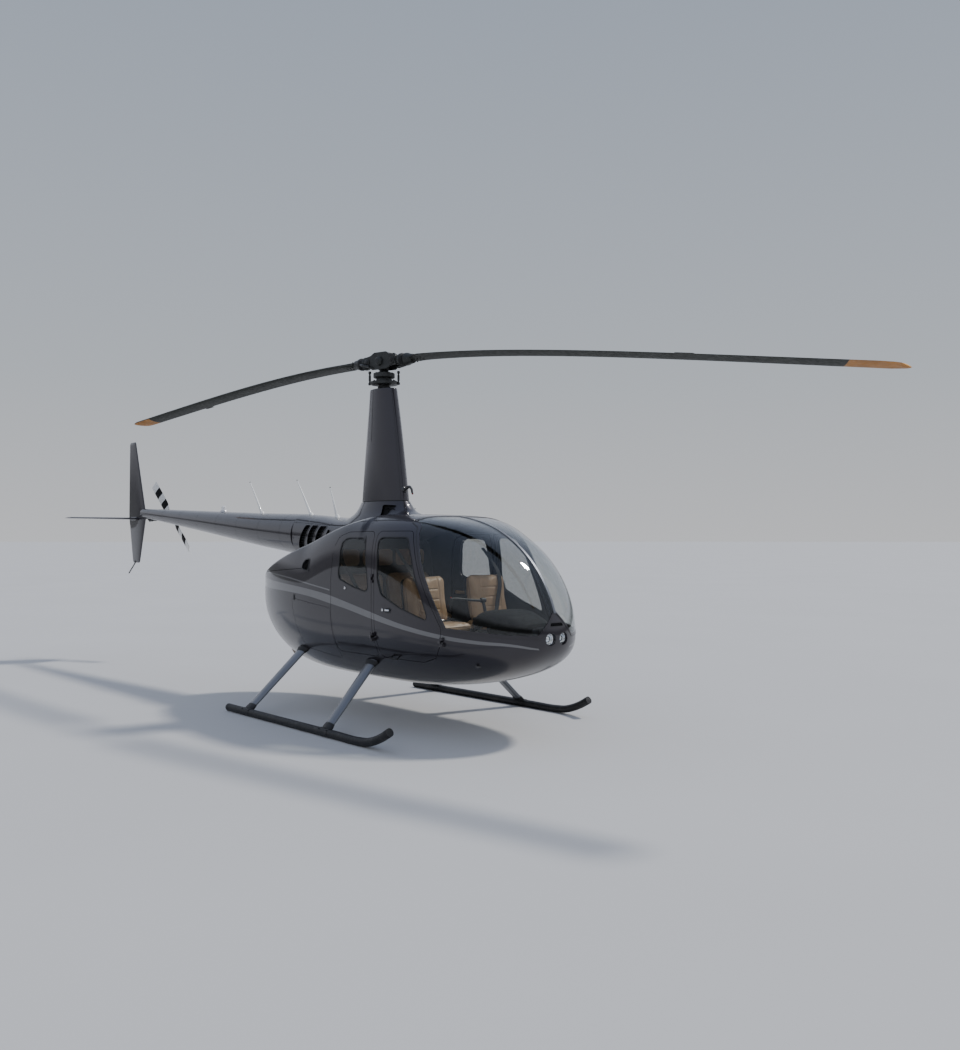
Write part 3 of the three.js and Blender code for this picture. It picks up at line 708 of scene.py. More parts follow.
def painted(name, colour, metal, rough, coat=1.0):
    """Clear-coated paint with flakes, faint waviness, and dust that gathers low down."""
    f = Finish(name, colour, rough, metal, Coat_Weight=coat, Coat_Roughness=0.03)
    wide = f.ranged(f.noise(2.2, 4), 0, 1)
    base = f.tinted(wide, 0.9, 1.1)
    low = f.ranged(f.axis("Z"), 0.05, 0.0, 0.3, 0.9)
    dust = f.maths("MULTIPLY", low, f.ranged(f.noise(9, 6), 0, 1, 0.35, 0.75))
    f.set("Base Color", f.mixed(dust, base, (0.22, 0.19, 0.16)))
    f.set("Roughness", f.ranged(f.cells(1400), rough - 0.06, rough + 0.08, 0, 0.7))
    f.bump(f.noise(45, 2), 0.0006, 0.12)
    return f


def glazing(name, tint, smudge=0.012):
    """Clear or tinted sheet: see-through face on, mirror-like at a slant."""
    f = Finish(name, (0.92, 0.95, 0.97), smudge, 1.0)
    f.set("Roughness", f.ranged(f.noise(5, 4), smudge * 0.5, smudge * 2.5))
    facing = f.node("ShaderNodeLayerWeight", {"Blend": 0.5}).outputs["Facing"]
    shine = f.maths("MULTIPLY_ADD", f.maths("POWER", facing, 4.0), 0.85)
    shine.node.inputs[2].default_value = 0.028
    clear = f.node("ShaderNodeBsdfTransparent", {"Color": (*tint, 1)})
    mix = f.node("ShaderNodeMixShader", {0: shine, 1: clear.outputs[0], 2: f.shader.outputs[0]})
    out = next(n for n in f.tree.nodes if n.type == "OUTPUT_MATERIAL")
    f.tree.links.new(mix.outputs[0], out.inputs["Surface"])
    return f


def worn(name, colour, rough, metal, worn_colour, wear=0.5, grain=60, bump=0.0004, specular=0.5):
    """Hard finish with patches where it has worn to another colour."""
    f = Finish(name, colour, rough, metal, Specular_IOR_Level=specular)
    share = f.ranged(f.noise(14, 7), 0, wear, 0.52, 0.72)
    f.set("Base Color", f.mixed(share, f.tinted(f.ranged(f.noise(5, 3), 0, 1)), worn_colour))
    f.set("Roughness", f.ranged(f.noise(grain, 4), max(rough - 0.1, 0.05), rough + 0.1))
    f.bump(f.noise(grain * 6, 3), bump, 0.5)
    return f


def woven(name, colour, pitch, depth=0.0005, rough=0.9, sheen=0.25):
    """Cloth: two crossed sets of threads."""
    f = Finish(name, colour, rough, Sheen_Weight=sheen, Sheen_Roughness=0.5)
    threads = f.maths("MAXIMUM", f.waves(pitch, direction="X"),
                      f.maths("MAXIMUM", f.waves(pitch, direction="Y"), f.waves(pitch, direction="Z")))
    f.set("Base Color", f.tinted(f.maths("MULTIPLY", threads, f.ranged(f.noise(6, 4), 0.6, 1.1))))
    f.bump(threads, depth, 0.6)
    return f


def moulded(name, colour, rough=0.55, grain=420, depth=0.0003):
    """Moulded plastic or rubber with a fine grain; also the near-black painted shade inside openings."""
    f = Finish(name, colour, rough)
    f.set("Base Color", f.tinted(f.ranged(f.noise(8, 4), 0, 1), 0.8, 1.25))
    f.set("Roughness", f.ranged(f.noise(20, 3), rough - 0.08, rough + 0.08))
    f.bump(f.cells(grain), depth, 0.5)
    return f


def leather(name, colour, shade=1.0):
    """Soft leather: pebbled grain, creases darkened with painted shade, and paler and darker patches at random."""
    colour = tuple(c * shade for c in colour)
    f = Finish(name, colour, 0.45, Sheen_Weight=0.08, Sheen_Roughness=0.4)
    pebble = f.cells(330, "SMOOTH_F1")
    crease = f.cells(26, "DISTANCE_TO_EDGE")
    tone = f.mixed(f.ranged(f.noise(4, 5), 0, 1), tuple(c * 0.8 for c in colour),
                   tuple(min(1, c * 1.18) for c in colour))
    # Darker colour along the creases: painted shade.
    f.set("Base Color", f.mixed(f.ranged(crease, 0.25, 0, 0, 0.05), tone, tuple(c * 0.55 for c in colour)))
    f.set("Roughness", f.ranged(f.noise(40, 4), 0.36, 0.56))
    under = f.bump(pebble, 0.0005, 0.5)
    f.bump(crease, 0.0008, 0.25, under)
    return f


def brushed(name, colour, rough=0.3, stretch=(1, 1, 14), metal=1.0):
    """Bare metal with fine lines across its length."""
    f = Finish(name, colour, rough, metal)
    lines = f.noise(160, 4, stretch)
    f.set("Base Color", f.tinted(f.ranged(f.noise(7, 4), 0, 1), 0.85, 1.08))
    f.set("Roughness", f.ranged(lines, rough - 0.08, rough + 0.1))
    f.bump(lines, 0.0002, 0.25)
    return f


def ribbed_lens(name, colour, rough=0.06):
    """Moulded coloured lens with fine ribs."""
    f = Finish(name, colour, rough, Coat_Weight=1.0, Coat_Roughness=0.02)
    ribs = f.waves(60, direction="Z")
    f.set("Base Color", f.tinted(ribs, 0.7, 1.3))
    f.bump(ribs, 0.0012, 0.6)
    return f


# Maker and colour of each finish, and the maker's other values; a word names one of the add-on's colours.
FINISHES = {
    "paint": (painted, "paint", 0.6, 0.3, 0.8),
    "strut_paint": (painted, (0.15, 0.16, 0.18), 0.8, 0.34, 0.7),
    "stripe": (painted, "stripe", 0.75, 0.36),
    "white": (painted, (0.78, 0.78, 0.75), 0.0, 0.35, 0.6),
    "black_paint": (painted, (0.015, 0.015, 0.017), 0.0, 0.35, 0.6),
    "window": (glazing, "window_tint"),
    "windshield": (glazing, "windshield_tint"),
    "lens": (glazing, (0.97, 0.98, 0.98)),
    "trim": (woven, (0.045, 0.046, 0.052), 180),
    "carpet": (woven, (0.028, 0.028, 0.032), 110, 0.0015, 0.95, 0.4),
    "belt": (woven, (0.012, 0.012, 0.014), 260, 0.0004, 0.75),
    "leather": (leather, "leather"),
    "piping": (leather, "leather", 0.5),
    "rubber": (moulded, (0.011, 0.011, 0.012), 0.62),
    "plastic": (moulded, (0.014, 0.014, 0.016), 0.5, 520, 0.0004),
    "dash": (moulded, (0.002, 0.002, 0.0022), 0.9, 700, 0.0006),
    # Near-black sheet at the back of vents, louvers, intakes and the exhaust pipe: painted shade for their dark
    # insides.
    "dark_hole": (moulded, (0.003, 0.003, 0.003), 0.9, 200),
    "screen": (painted, (0.008, 0.011, 0.016), 0.0, 0.1, 1.0),
    "dial": (moulded, (0.6, 0.6, 0.58), 0.5),
    "skid": (worn, (0.007, 0.007, 0.008), 0.5, 0.0, (0.06, 0.055, 0.05), 0.4),
    "steel": (brushed, (0.55, 0.55, 0.56), 0.32),
    "chrome": (brushed, (0.9, 0.9, 0.9), 0.09),
    "exhaust": (worn, (0.28, 0.24, 0.2), 0.42, 1.0, (0.1, 0.07, 0.06), 0.9, 30),
    "hub_metal": (worn, (0.03, 0.032, 0.031), 0.45, 0.4, (0.011, 0.01, 0.009), 0.9, 40),
    "dark_metal": (worn, (0.03, 0.031, 0.033), 0.4, 0.6, (0.012, 0.01, 0.008), 0.8, 40),
    "blade": (worn, (0.019, 0.022, 0.018), 0.6, 0.0, (0.027, 0.029, 0.024), 0.4, 30, 0.0001, 0.2),
    "blade_nose": (worn, (0.045, 0.046, 0.043), 0.5, 0.5, (0.02, 0.02, 0.018), 0.6, 50),
    "tip_upper": (worn, (0.86, 0.4, 0.07), 0.5, 0.0, (0.6, 0.28, 0.06), 0.4, 30, 0.0004, 0.3),
    # Tip underside: the tip orange darkened as painted shade.
    "tip_lower": (worn, (0.4, 0.175, 0.04), 0.55, 0.0, (0.27, 0.13, 0.04), 0.4, 30, 0.0004, 0.2),
    # Beacon lens: its pale colour stands in for the sun's highlight on the lens, a painted highlight.
    "pale_lens": (ribbed_lens, (0.86, 0.84, 0.82)),
    "band_black": (worn, (0.005, 0.005, 0.006), 0.65, 0.0, (0.02, 0.02, 0.02), 0.3, 40, 0.0001, 0.15),
    "red": (moulded, (0.45, 0.02, 0.02), 0.5),
}


def finish(key):
    """The material of a finish, made once."""
    name = "finish_" + key
    if name not in bpy.data.materials:
        maker, colour, *values = FINISHES[key]
        maker(name, getattr(colours(), colour) if isinstance(colour, str) else colour, *values)
    return bpy.data.materials[name]


# Cabin pod: outlines seen from the side in millimetres, and the pieces cut from its skin

DOOR_GAP = 0.004
SHELL_DEPTH, DOOR_DEPTH = 0.028, 0.025
FRONT_DOOR = Outline([(857, 640), (1400, 640), (1560, 690), (1640, 800), (1655, 930), (1556, 1092), (1483, 1215),
                      (1408, 1355), (1296, 1600), (1228, 1722), (857, 1722)], 45)
REAR_DOOR = Outline([(192, 640), (815, 640), (815, 1722), (430, 1718), (290, 1680), (222, 1570), (192, 1300)], 45)
FRONT_GLASS = Outline([(950, 1180), (1186, 1082), (1500, 990), (1512, 1030), (1445, 1185), (1372, 1333),
                       (1303, 1503), (1214, 1672), (880, 1672), (897, 1310)], 55)
REAR_GLASS = Outline([(302, 1302), (525, 1236), (772, 1188), (755, 1323), (730, 1496), (702, 1668), (430, 1668),
                      (352, 1640), (326, 1560), (318, 1454)], 55)
BAGGAGE_DOOR = Outline([(-800, 640), (-240, 620), (-240, 1040), (-800, 1080)], 40)
WINDSHIELD = Outline([(1130, 2000), (1130, 1800), (1235, 1752), (1318, 1610), (1430, 1362), (1505, 1222),
                      (1580, 1095), (1676, 932), (1676, 700), (2500, 700), (2500, 2000)], 30)
SIDE_PANEL = Outline([(180, 1030), (180, 560), (-400, 620), (-520, 1095)], 30)
SCOOP = Outline([(-277, 1460), (-198, 1473), (-212, 1360), (-316, 1371), (-338, 1396), (-311, 1440)], 10)
SILL_Y, SILL_Z = (0, 0.19, 0.42, 0.74, 1.0), (1.07, 0.868, 0.88, 0.935, 0.96)
STRIP_HALF = 0.012
LAMP_Y, LAMP_Z, LAMP_RADIUS = 0.072, 0.858, 0.052
LAMP = Outline(stacked(LAMP_Y + LAMP_RADIUS * np.cos(circle(24)), LAMP_Z + LAMP_RADIUS * np.sin(circle(24))) * 1000,
               10, (1, 2), True)
NOSE_VENT = Outline([(-75, 962), (75, 962), (60, 986), (-60, 986)], 5, (1, 2))
DOORS = {"front": (FRONT_DOOR, FRONT_GLASS, (1.048, 1.054)), "rear": (REAR_DOOR, REAR_GLASS, (0.42, 1.221))}
# Hinge axes: x and y in metres, the knuckles' lower ends, and the reach of the frame's and door's leaves.
HINGES = {"front": (1.662, 0.668, (0.79,), (17, 11)), "rear": (0.822, 0.746, (0.78, 1.28), (8, 7)),
          "baggage": (-0.228, 0.746, (0.86,), (8, 7))}


def sill_rise(p):
    return p[:, 2] - np.interp(np.abs(p[:, 1]), SILL_Y, SILL_Z)


def ahead_of(x):
    return lambda p: p[:, 0] - x


def beyond(measure, *distances):
    """Measures that are zero at the distances from a line; a single one comes without a list."""
    lines = [lambda p, d=d: measure(p) - d for d in distances]
    return lines if len(lines) > 1 else lines[0]


def over(measure, low=0.0):
    return lambda c: measure(c) > low


def under(measure, high=0.0):
    return lambda c: measure(c) < high


def between(measure, low, high):
    return lambda c: (measure(c) > low) & (measure(c) < high)


def on_side(side):
    return lambda c: c[:, 1] * side > 0


def rim_of(skin, measure, low, high):
    """The part of a skin between two distances from an outline."""
    return skin.split(*beyond(measure, low, high)).pick(between(measure, low, high))


class Band:
    """Painted stripe along the sides, given by stations with their top and width in millimetres."""

    def __init__(self, rows):
        self.x, self.height, self.width = np.divide(rows, 1000).T
        self.lines = [self.top, self.bottom, ahead_of(self.x[0]), ahead_of(self.x[-1])]

    def top(self, p):
        return p[:, 2] - spline(self.x, self.height, p[:, 0])

    def bottom(self, p):
        return self.top(p) + spline(self.x, self.width, p[:, 0])

    def holds(self, c):
        return (self.top(c) < 0) & (self.bottom(c) > 0) & (c[:, 0] > self.x[0]) & (c[:, 0] < self.x[-1])


STRIPES = (Band([(-1840, 1290, 100), (-1120, 1248, 86), (-600, 1220, 70), (-200, 1190, 66), (160, 1147, 72),
                 (420, 1100, 62), (790, 1030, 56), (1210, 949, 42), (1650, 884, 34), (2000, 847, 26),
                 (2154, 834, 22), (2222, 820, 20), (2259, 806, 18), (2290, 792, 14)]),
           Band([(-1700, 1350, 12), (-1090, 1323, 12), (-600, 1291, 12), (-190, 1244, 12), (170, 1199, 12)]))
STRIPE_LINES = [line for band in STRIPES for line in band.lines]


class Slit:
    """Straight narrow gap between two panels, seen from the side."""

    def __init__(self, start, end, half):
        self.start, self.half = np.array(start, float), half
        self.length = np.linalg.norm(np.subtract(end, start))
        self.way = np.subtract(end, start) / self.length

    def along(self, p):
        return (p[:, [0, 2]] - self.start) @ self.way

    def off(self, p):
        return (p[:, [0, 2]] - self.start) @ [-self.way[1], self.way[0]]

    def measures(self):
        return [*beyond(self.off, self.half, -self.half), *beyond(self.along, 0, self.length)]

    def holds(self, c):
        return between(self.off, -self.half, self.half)(c) & between(self.along, 0, self.length)(c)


TAIL_SEAMS = (Slit((-1.8, 1.29), (-1.098, 1.335), 0.0022), Slit((-1.098, 1.335), (-0.345, 1.379), 0.0022))


@cache
def pod_skin():
    """Whole outer skin of the pod, closer rings at both ends and more columns along the deck's edge."""
    STATIONS, HALF_AROUND = 270, 92
    turns = np.linspace(-0.992, 0.994, STATIONS)
    x = station(turns)[:, None]
    fine = np.linspace(-math.pi / 2, math.pi / 2, 1200)[None]
    steps = np.linalg.norm(np.diff(pod_point(x, fine), axis=1), axis=2)
    side, flat, _ = pod_radii(x, fine)
    edge = np.exp(-((side - flat) / 0.05) ** 2)
    run = np.cumsum(steps * (1 + 1.5 * (edge[:, 1:] + edge[:, :-1])), axis=1)
    run = np.hstack([np.zeros((STATIONS, 1)), run / run[:, -1:]])
    shares = np.linspace(0, 1, HALF_AROUND + 1)
    angles = np.array([np.interp(shares, r, fine[0]) for r in run])
    halves = pod_point(x, angles), pod_way_out(turns[:, None], angles)
    rows, ways = (np.concatenate([half, half[:, -2:0:-1] * [1, -1, 1]], 1) for half in halves)
    columns = rows.shape[1]
    faces = grid_faces(STATIONS, columns).tolist()
    count, last = STATIONS * columns, (STATIONS - 1) * columns
    for j in range(columns):
        k = (j + 1) % columns
        faces += [[count, k, j], [count + 1, last + j, last + k]]
    tips = [[TAIL_X, 0, rows[0, :, 2].mean()], [NOSE_X, 0, NOSE_Z]]
    ways = np.vstack([ways.reshape(-1, 3), [[-1, 0, 0], [1, 0, 0]]])
    return Skin(np.vstack([rows.reshape(-1, 3), tips]), ways, faces)


@cache
def frame_skin():
    """Pod skin with the door, window and panel lines cut into it."""
    lines = [beyond(FRONT_DOOR.far, DOOR_GAP), beyond(REAR_DOOR.far, DOOR_GAP), WINDSHIELD.far, sill_rise,
             ahead_of(BULKHEAD_X), LAMP.far, NOSE_VENT.far, SCOOP.far, beyond(BAGGAGE_DOOR.far, DOOR_GAP),
             *STRIPE_LINES, *beyond(SIDE_PANEL.far, -0.0015, 0.0015)]
    return pod_skin().split(*lines, *[line for seam in TAIL_SEAMS for line in seam.measures()])


def panel_gap(c):
    """True in the narrow gaps around the fixed panels."""
    side_gap = between(SIDE_PANEL.far, -0.0015, 0.0015)(c) & (c[:, 1] < 0)
    return side_gap | np.any([seam.holds(c) for seam in TAIL_SEAMS], axis=0)


def panel(name, skin, depth, finishes, nodes, body=AIRFRAME, fittings=()):
    """Painted piece of the skin with its stripes, and the fittings on it."""
    c = skin.centres()
    shape = Shape()
    skin.plate(shape, 0, depth, np.any([band.holds(c) for band in STRIPES], axis=0).astype(int), inner=2, rim=0)
    for bodies, number in fittings:
        shape.add(bodies, number)
    build(name, shape, "paint stripe " + finishes, nodes, body)


def screw_line(outline, grow, spacing, side, keep=lambda flat: slice(None)):
    """Screw heads along an outline on one side of the pod."""
    path = np.vstack([outline.points, outline.points[:1]])
    run = np.r_[0, np.cumsum(np.linalg.norm(np.diff(path, axis=0), axis=1))]
    at = np.arange(spacing / 2, run[-1], spacing)
    flat, ahead = (stacked(*(np.interp(at + step, run, path[:, k]) for k in (0, 1))) for step in (0, 1e-3))
    way = unit(ahead - flat)
    area = np.sum(path[:-1, 0] * path[1:, 1] - path[1:, 0] * path[:-1, 1])
    flat = flat + stacked(way[:, 1], -way[:, 0]) * grow * np.sign(area)
    flat = flat[keep(flat)]
    return studs(*pod_at(flat[:, 0], flat[:, 1], side))


def cabin():
    """Cabin shell from the bulkhead to the nose, without its doors and windshield."""
    def wanted(c):
        glass = (WINDSHIELD.far(c) < 0) & (sill_rise(c) > 0)
        holes = ((LAMP.far(c) < 0) | (NOSE_VENT.far(c) < 0)) & (c[:, 0] > 2.0)
        openings = (FRONT_DOOR.far(c) < DOOR_GAP) | (REAR_DOOR.far(c) < DOOR_GAP) | (SCOOP.far(c) < 0)
        return (c[:, 0] > BULKHEAD_X) & ~glass & ~openings & ~holes & ~panel_gap(c)

    panel("cabin_shell", frame_skin().pick(wanted), SHELL_DEPTH, "trim", "cabin_lower_shell cabin_roof_frame")

    seals = Shape()
    for outline in (FRONT_DOOR, REAR_DOOR):
        rim_of(pod_skin(), outline.far, -0.012, 0.006).plate(seals, -0.0275, 0.034)
    build("door_seals", seals, "rubber")

    screws = Shape().add(screw_line(SIDE_PANEL, -0.014, 0.085, RIGHT))
    for _, side in SIDES:
        screws.add(screw_line(WINDSHIELD, 0.014, 0.075, side,
                              lambda f: (f[:, 0] < 1.68) & (f[:, 1] > 0.95) & (f[:, 1] < 1.8)))
    vent = Shape()
    nose = pod_skin().split(NOSE_VENT.far, beyond(NOSE_VENT.far, 0.004)).pick(lambda c: c[:, 0] > 2)
    # The vent's sunken floor is near-black: painted shade.
    nose.pick(under(NOSE_VENT.far, 0.004)).plate(vent, -0.018, 0.022)
    nose.pick(between(NOSE_VENT.far, 0, 0.004)).plate(vent, 0.0012, 0.02, 1)
    vent.add([slab((2.306, y, 0.974), (20, 3, 22), 1) for y in np.linspace(-0.05, 0.05, 6)], 1)
    build("nose_vent", vent, "dark_hole plastic")
    build("shell_screws", screws, "paint")


def scoop_and_step():
    """Side air scoops with lips and bars, boarding steps and the side panel's latch."""
    scoops, fittings = Shape(), Shape()
    skin = pod_skin().split(SCOOP.far, *beyond(SCOOP.far, 0.007, -0.003))
    for _, side in SIDES:
        near = skin.pick(on_side(side))
        # The scoop's sunken back and its bars are near-black: painted shade.
        near.pick(under(SCOOP.far, 0.007)).plate(scoops, -0.026, 0.03, 1)
        near.pick(between(SCOOP.far, -0.003, 0.007)).plate(scoops, 0.004, 0.026)
        for x in (-0.3, -0.268, -0.236):
            top, _ = pod_at(x, 1.452 + (x + 0.3) * 0.25, side)
            low, way = pod_at(x, 1.378 - (x + 0.3) * 0.1, side)
            scoops.add(tube([low - way * 0.016, top - way * 0.016], 3.5, 8), 1)
        foot, way = pod_at(1.055, 0.658, side)
        for dx in (-0.045, 0.045):
            start = foot + [dx, 0, 0] - way * 0.004
            fittings.add(rod(start, start + way * 0.03, 7))
        rail = foot + way * 0.028
        fittings.add(rod(rail - [0.055, 0, 0], rail + [0.055, 0, 0], 8.5), 1)
    build("side_scoops", scoops, "plastic dark_hole")
    latch, way, fore, up = axes_at(-0.462, 1.1, RIGHT)
    fittings.add(slab(latch, (36, 56, 3), 1, 5, fore, up), 1)
    fittings.add(slab(latch + way * 0.002, (10, 34, 4), 1, None, fore, up))
    build("side_fittings", fittings, "dark_metal rubber")


def aft_body():
    """Engine bay skin behind the cabin, with its baggage bay."""
    def wanted(c):
        baggage = (BAGGAGE_DOOR.far(c) < DOOR_GAP) & (c[:, 1] > 0)
        return (c[:, 0] < BULKHEAD_X) & ~baggage & ~(SCOOP.far(c) < 0) & ~panel_gap(c)

    panel("aft_body_skin", frame_skin().pick(wanted), 0.024, "dark_metal", "aft_fuselage")
    MIDDLE_X, MIDDLE_Z, LENGTH, HEIGHT, BACK_Y = -0.52, 0.853, 590, 482, 0.285
    bay = Shape().add(slab((MIDDLE_X, BACK_Y, MIDDLE_Z), (LENGTH, 6, HEIGHT), 2))
    for end in (-1, 1):
        bay.add(slab((MIDDLE_X + end * LENGTH / 2000, (BACK_Y + 0.56) / 2, MIDDLE_Z), (6, 275, HEIGHT - 4), 2))
    for end in (-1, 1):
        bay.add(slab((MIDDLE_X, (BACK_Y + 0.52) / 2, MIDDLE_Z + end * HEIGHT / 2000), (LENGTH - 4, 235, 6), 2))
    build("baggage_bay_lining", bay, "carpet")
    seal = Shape()
    rim_of(pod_skin(), BAGGAGE_DOOR.far, -0.012, 0.006).pick(on_side(LEFT)).plate(seal, -0.0275, 0.034)
    build("baggage_door_seal", seal, "rubber")


def hinge_bodies(kind, side, of_door):
    """Middle knuckles of the door's hinges, or the outer ones with their pin."""
    x, y, lows, reaches = HINGES[kind]
    KNUCKLE, PITCH = 0.024, 0.02435
    toward, reach = (-1, reaches[0]) if of_door else (1, reaches[1])
    bodies = []
    for low in lows:
        for k in ((1,) if of_door else (0, 2)):
            z = low + k * PITCH
            middle = z + KNUCKLE / 2
            bodies += [rod((x, side * y, z), (x, side * y, z + KNUCKLE), 5.5, 1),
                       slab((x + toward * (reach + 4) / 2000, side * (y + 0.001), middle), (reach + 4, 4, 24), 1),
                       slab((x + toward * (reach + 6) / 1000, side * (y - 0.029), middle), (11, 62, 24), 1)]
        if not of_door:
            top = low + 3 * PITCH
            bodies.append(lathe((x, side * y, top), (x, side * y, top + 0.01), [(-1, 4), (2, 4), (4, 2)], 14))
    return bodies


def door(kind, label, side):
    """Door skin with its window, seals, handle and hinges."""
    outline, glass, handle_at = DOORS[kind]
    body = f"{kind}_door_{label}_body"
    near = pod_skin().pick(on_side(side)).pick(under(outline.far, 0.03))
    skin = near.split(outline.far, glass.far, *STRIPE_LINES)
    skin = skin.pick(under(outline.far)).pick(over(glass.far))
    panel(f"{kind}_door_panel_{label}", skin, DOOR_DEPTH, "trim", f"{kind}_door_{label}", body,
          [(hinge_bodies(kind, side, True), 0)])

    pane, seal, latch, lining = Shape(), Shape(), Shape(), Shape()
    near.split(beyond(glass.far, 0.001)).pick(under(glass.far, 0.001)).plate(pane, -0.003, 0.008)
    build(f"{kind}_door_window_{label}", pane, "window", f"{kind}_door_glass_{label}", body)
    rim_of(near, glass.far, -0.006, 0.003).plate(seal, 0.0014, 0.01)
    build(f"{kind}_window_seal_{label}", seal, "rubber", "", body)

    x, z = handle_at
    at, way, fore, up = axes_at(x, z, side)
    lock = at
    if kind == "front":
        latch.add(slab(at + way * 0.0005, (84, 46, 3), 1, 20, fore, up), 1)
        lever = [at + fore * t + way * h for t, h in mm((-24, 4), (-18, 13), (10, 15), (32, 13))]
        latch.add(tube(curve_through(lever, 12), np.linspace(9.5, 7, 12), 12, way, 0.6))
        latch.add(rod(at + fore * -0.021 - way * 0.002, at + fore * -0.021 + way * 0.012, 11))
        lock = at - fore * 0.07
    latch.add(slab(lock + way * 0.0004, (34, 34, 3), 1, 14, fore, up), 1)
    latch.add(lathe(lock - way * 0.002, lock + way, [(0, 12.5), (7, 12.5), (8.5, 10.5), (8.5, 3)], 24))
    latch.add(slab(lock + way * 0.0068, (2.5, 10, 1), 0.3, None, fore, up), 1)
    build(f"{kind}_door_handle_{label}", latch, "chrome plastic", "", body)

    pull_at, _ = pod_at(x - 0.03, z - 0.09, side)
    rest = [pull_at - way * d + fore * t for t, d in mm((-110, 24), (-100, 58), (0, 64), (100, 58), (110, 24))]
    lining.add(tube(curve_through(rest, 24), 10, 12, up, 1.6))
    build(f"{kind}_door_pull_{label}", lining, "leather", "", body)


def doors():
    fixed = Shape()
    for label, side in SIDES:
        for kind in DOORS:
            door(kind, label, side)
            fixed.add(hinge_bodies(kind, side, False))
    build("frame_hinges", fixed.add(hinge_bodies("baggage", LEFT, False)), "paint")


def baggage_door():
    skin = pod_skin().pick(on_side(LEFT)).pick(under(BAGGAGE_DOOR.far, 0.03))
    skin = skin.split(BAGGAGE_DOOR.far, *STRIPE_LINES).pick(under(BAGGAGE_DOOR.far))
    fittings = [(hinge_bodies("baggage", LEFT, True), 0)]
    for z in (0.74, 0.98):
        at, way = pod_at(-0.765, z, LEFT)
        fittings.append(([slab(at + way * 0.001, (30, 46, 4), 1, 6, *across(way)), rod(at, at + way * 0.007, 7)], 3))
    panel("baggage_door_panel", skin, 0.022, "trim steel", "baggage_door", "baggage_door_body", fittings)


def windshield():
    """Curved clear halves with their retainer strips, and the strip between them."""
    far, off_middle = WINDSHIELD.far, lambda p: np.abs(p[:, 1])
    skin = pod_skin().pick(lambda c: (c[:, 0] > 1.08) & (c[:, 2] > 0.8)).split(
        *beyond(far, 0, -0.004, -0.024), *beyond(sill_rise, 0, 0.003, 0.022), *beyond(off_middle, STRIP_HALF, 0.0001))
    opening = skin.pick(under(far))
    for label, side in SIDES:
        sheet, retainer = Shape(), Shape()
        half = opening.pick(over(sill_rise)).pick(over(off_middle, STRIP_HALF)).pick(on_side(side))
        half.plate(sheet, -0.001, 0.0065)
        build(f"windshield_sheet_{label}", sheet, "windshield", f"windshield_{label}")
        for number, (edge, sill, lift) in enumerate(mm((-24, 22, 2.2), (-4, 3, 2.8))):
            rim = half.pick(lambda c: (far(c) > edge) | (sill_rise(c) < sill))
            rim.plate(retainer, lift, 0.009, number)
        build(f"windshield_retainer_{label}", retainer, "paint rubber")
    strip = Shape()
    opening.pick(lambda c: (c[:, 2] > 1.062) & (off_middle(c) < STRIP_HALF)).plate(strip, 0.0045, 0.013)
    x = np.linspace(1.17, 2.25, 20)
    crown = np.full(x.shape, math.pi / 2 - 1e-6)
    ways = pod_way_out(turn_at(x), crown) * [1, 0, 1]
    strip.add(studs(pod_point(x, crown) * [1, 0, 1] + ways * 0.0043, unit(ways), 4.2), 1)
    build("windshield_strip", strip, "strut_paint dark_metal", "windshield_centre_strip")


# Cowling, mast fairing and tail: stations in millimetres

COWL_POWER = 2.2
COWL_X, COWL_Z, COWL_W, COWL_H = np.divide((
    (-1360.5, -1000, -600, -200, 100, 360, 560, 640), (1704, 1685, 1660, 1660, 1690, 1740, 1776, 1770),
    (216.5, 236, 262, 285, 285, 250, 175, 140), (226, 219, 215, 222, 212, 160, 108, 90)), 1000)
BASE_Z, BASE_X, BASE_A, BASE_B = np.divide((
    (1780, 1850, 1920, 1970, 2018), (28, 28, 28, 25, 24), (620, 545, 425, 372, 338), (262, 228, 190, 170, 153)), 1000)
FAIRING_Z, FAIRING_X, FAIRING_A, FAIRING_B = np.divide((
    (2018.4, 2600, 3000, 3115), (24, 10, -4, -10), (326, 252, 195, 178), (148, 125, 106, 100)), 1000)
BOOM_X, BOOM_Z, BOOM_R = np.divide((
    (-5640, -3900, -2300, -1360.5), (2030, 1896, 1768, 1704), (62, 127, 190, 226)), 1000)
BOOM_SEAMS = (-1.62, -2.13, -2.68, -3.23, -3.78, -4.33, -4.88, -5.4)
LOUVERS = [Outline(corners, 12) for corners in (
    [(-1239, 1566), (-1114, 1575), (-985, 1803), (-1082, 1804)],
    [(-1037, 1599), (-923, 1610), (-829, 1797), (-948, 1800)],
    [(-850, 1636), (-738, 1650), (-654, 1787), (-786, 1791)],
    [(-631, 1672), (-569, 1678), (-569, 1745), (-612, 1757)])]
INTAKE = Outline([(185, 1985), (345, 1975), (305, 1930), (285, 1865), (215, 1865)], 14)
# Place along the span, nose, chord and thickness.
FIN = mm((1330, -5800, 240, 20), (1990, -5600, 590, 56), (3055, -5960, 212, 20))
STABILIZER = mm((-970, -5770, 290, 22), (-4, -5760, 300, 34))


def cowl_at(x):
    """Middle height, half width and half height of the cowling."""
    return [spline(COWL_X, v, x) for v in (COWL_Z, COWL_W, COWL_H)]


def fairing_at(z, read=spline):
    return [read(FAIRING_Z, v, z) for v in (FAIRING_X, FAIRING_A, FAIRING_B)]


def boom_at(x):
    return np.interp(x, BOOM_X, BOOM_Z), np.interp(x, BOOM_X, BOOM_R)


def cowl_point(x, angle):
    z, w, h = cowl_at(x)
    y, rise = (np.sign(v) * np.abs(v) ** (2 / COWL_POWER) for v in (np.cos(angle), np.sin(angle)))
    return stacked(x, w * y, z + h * rise)


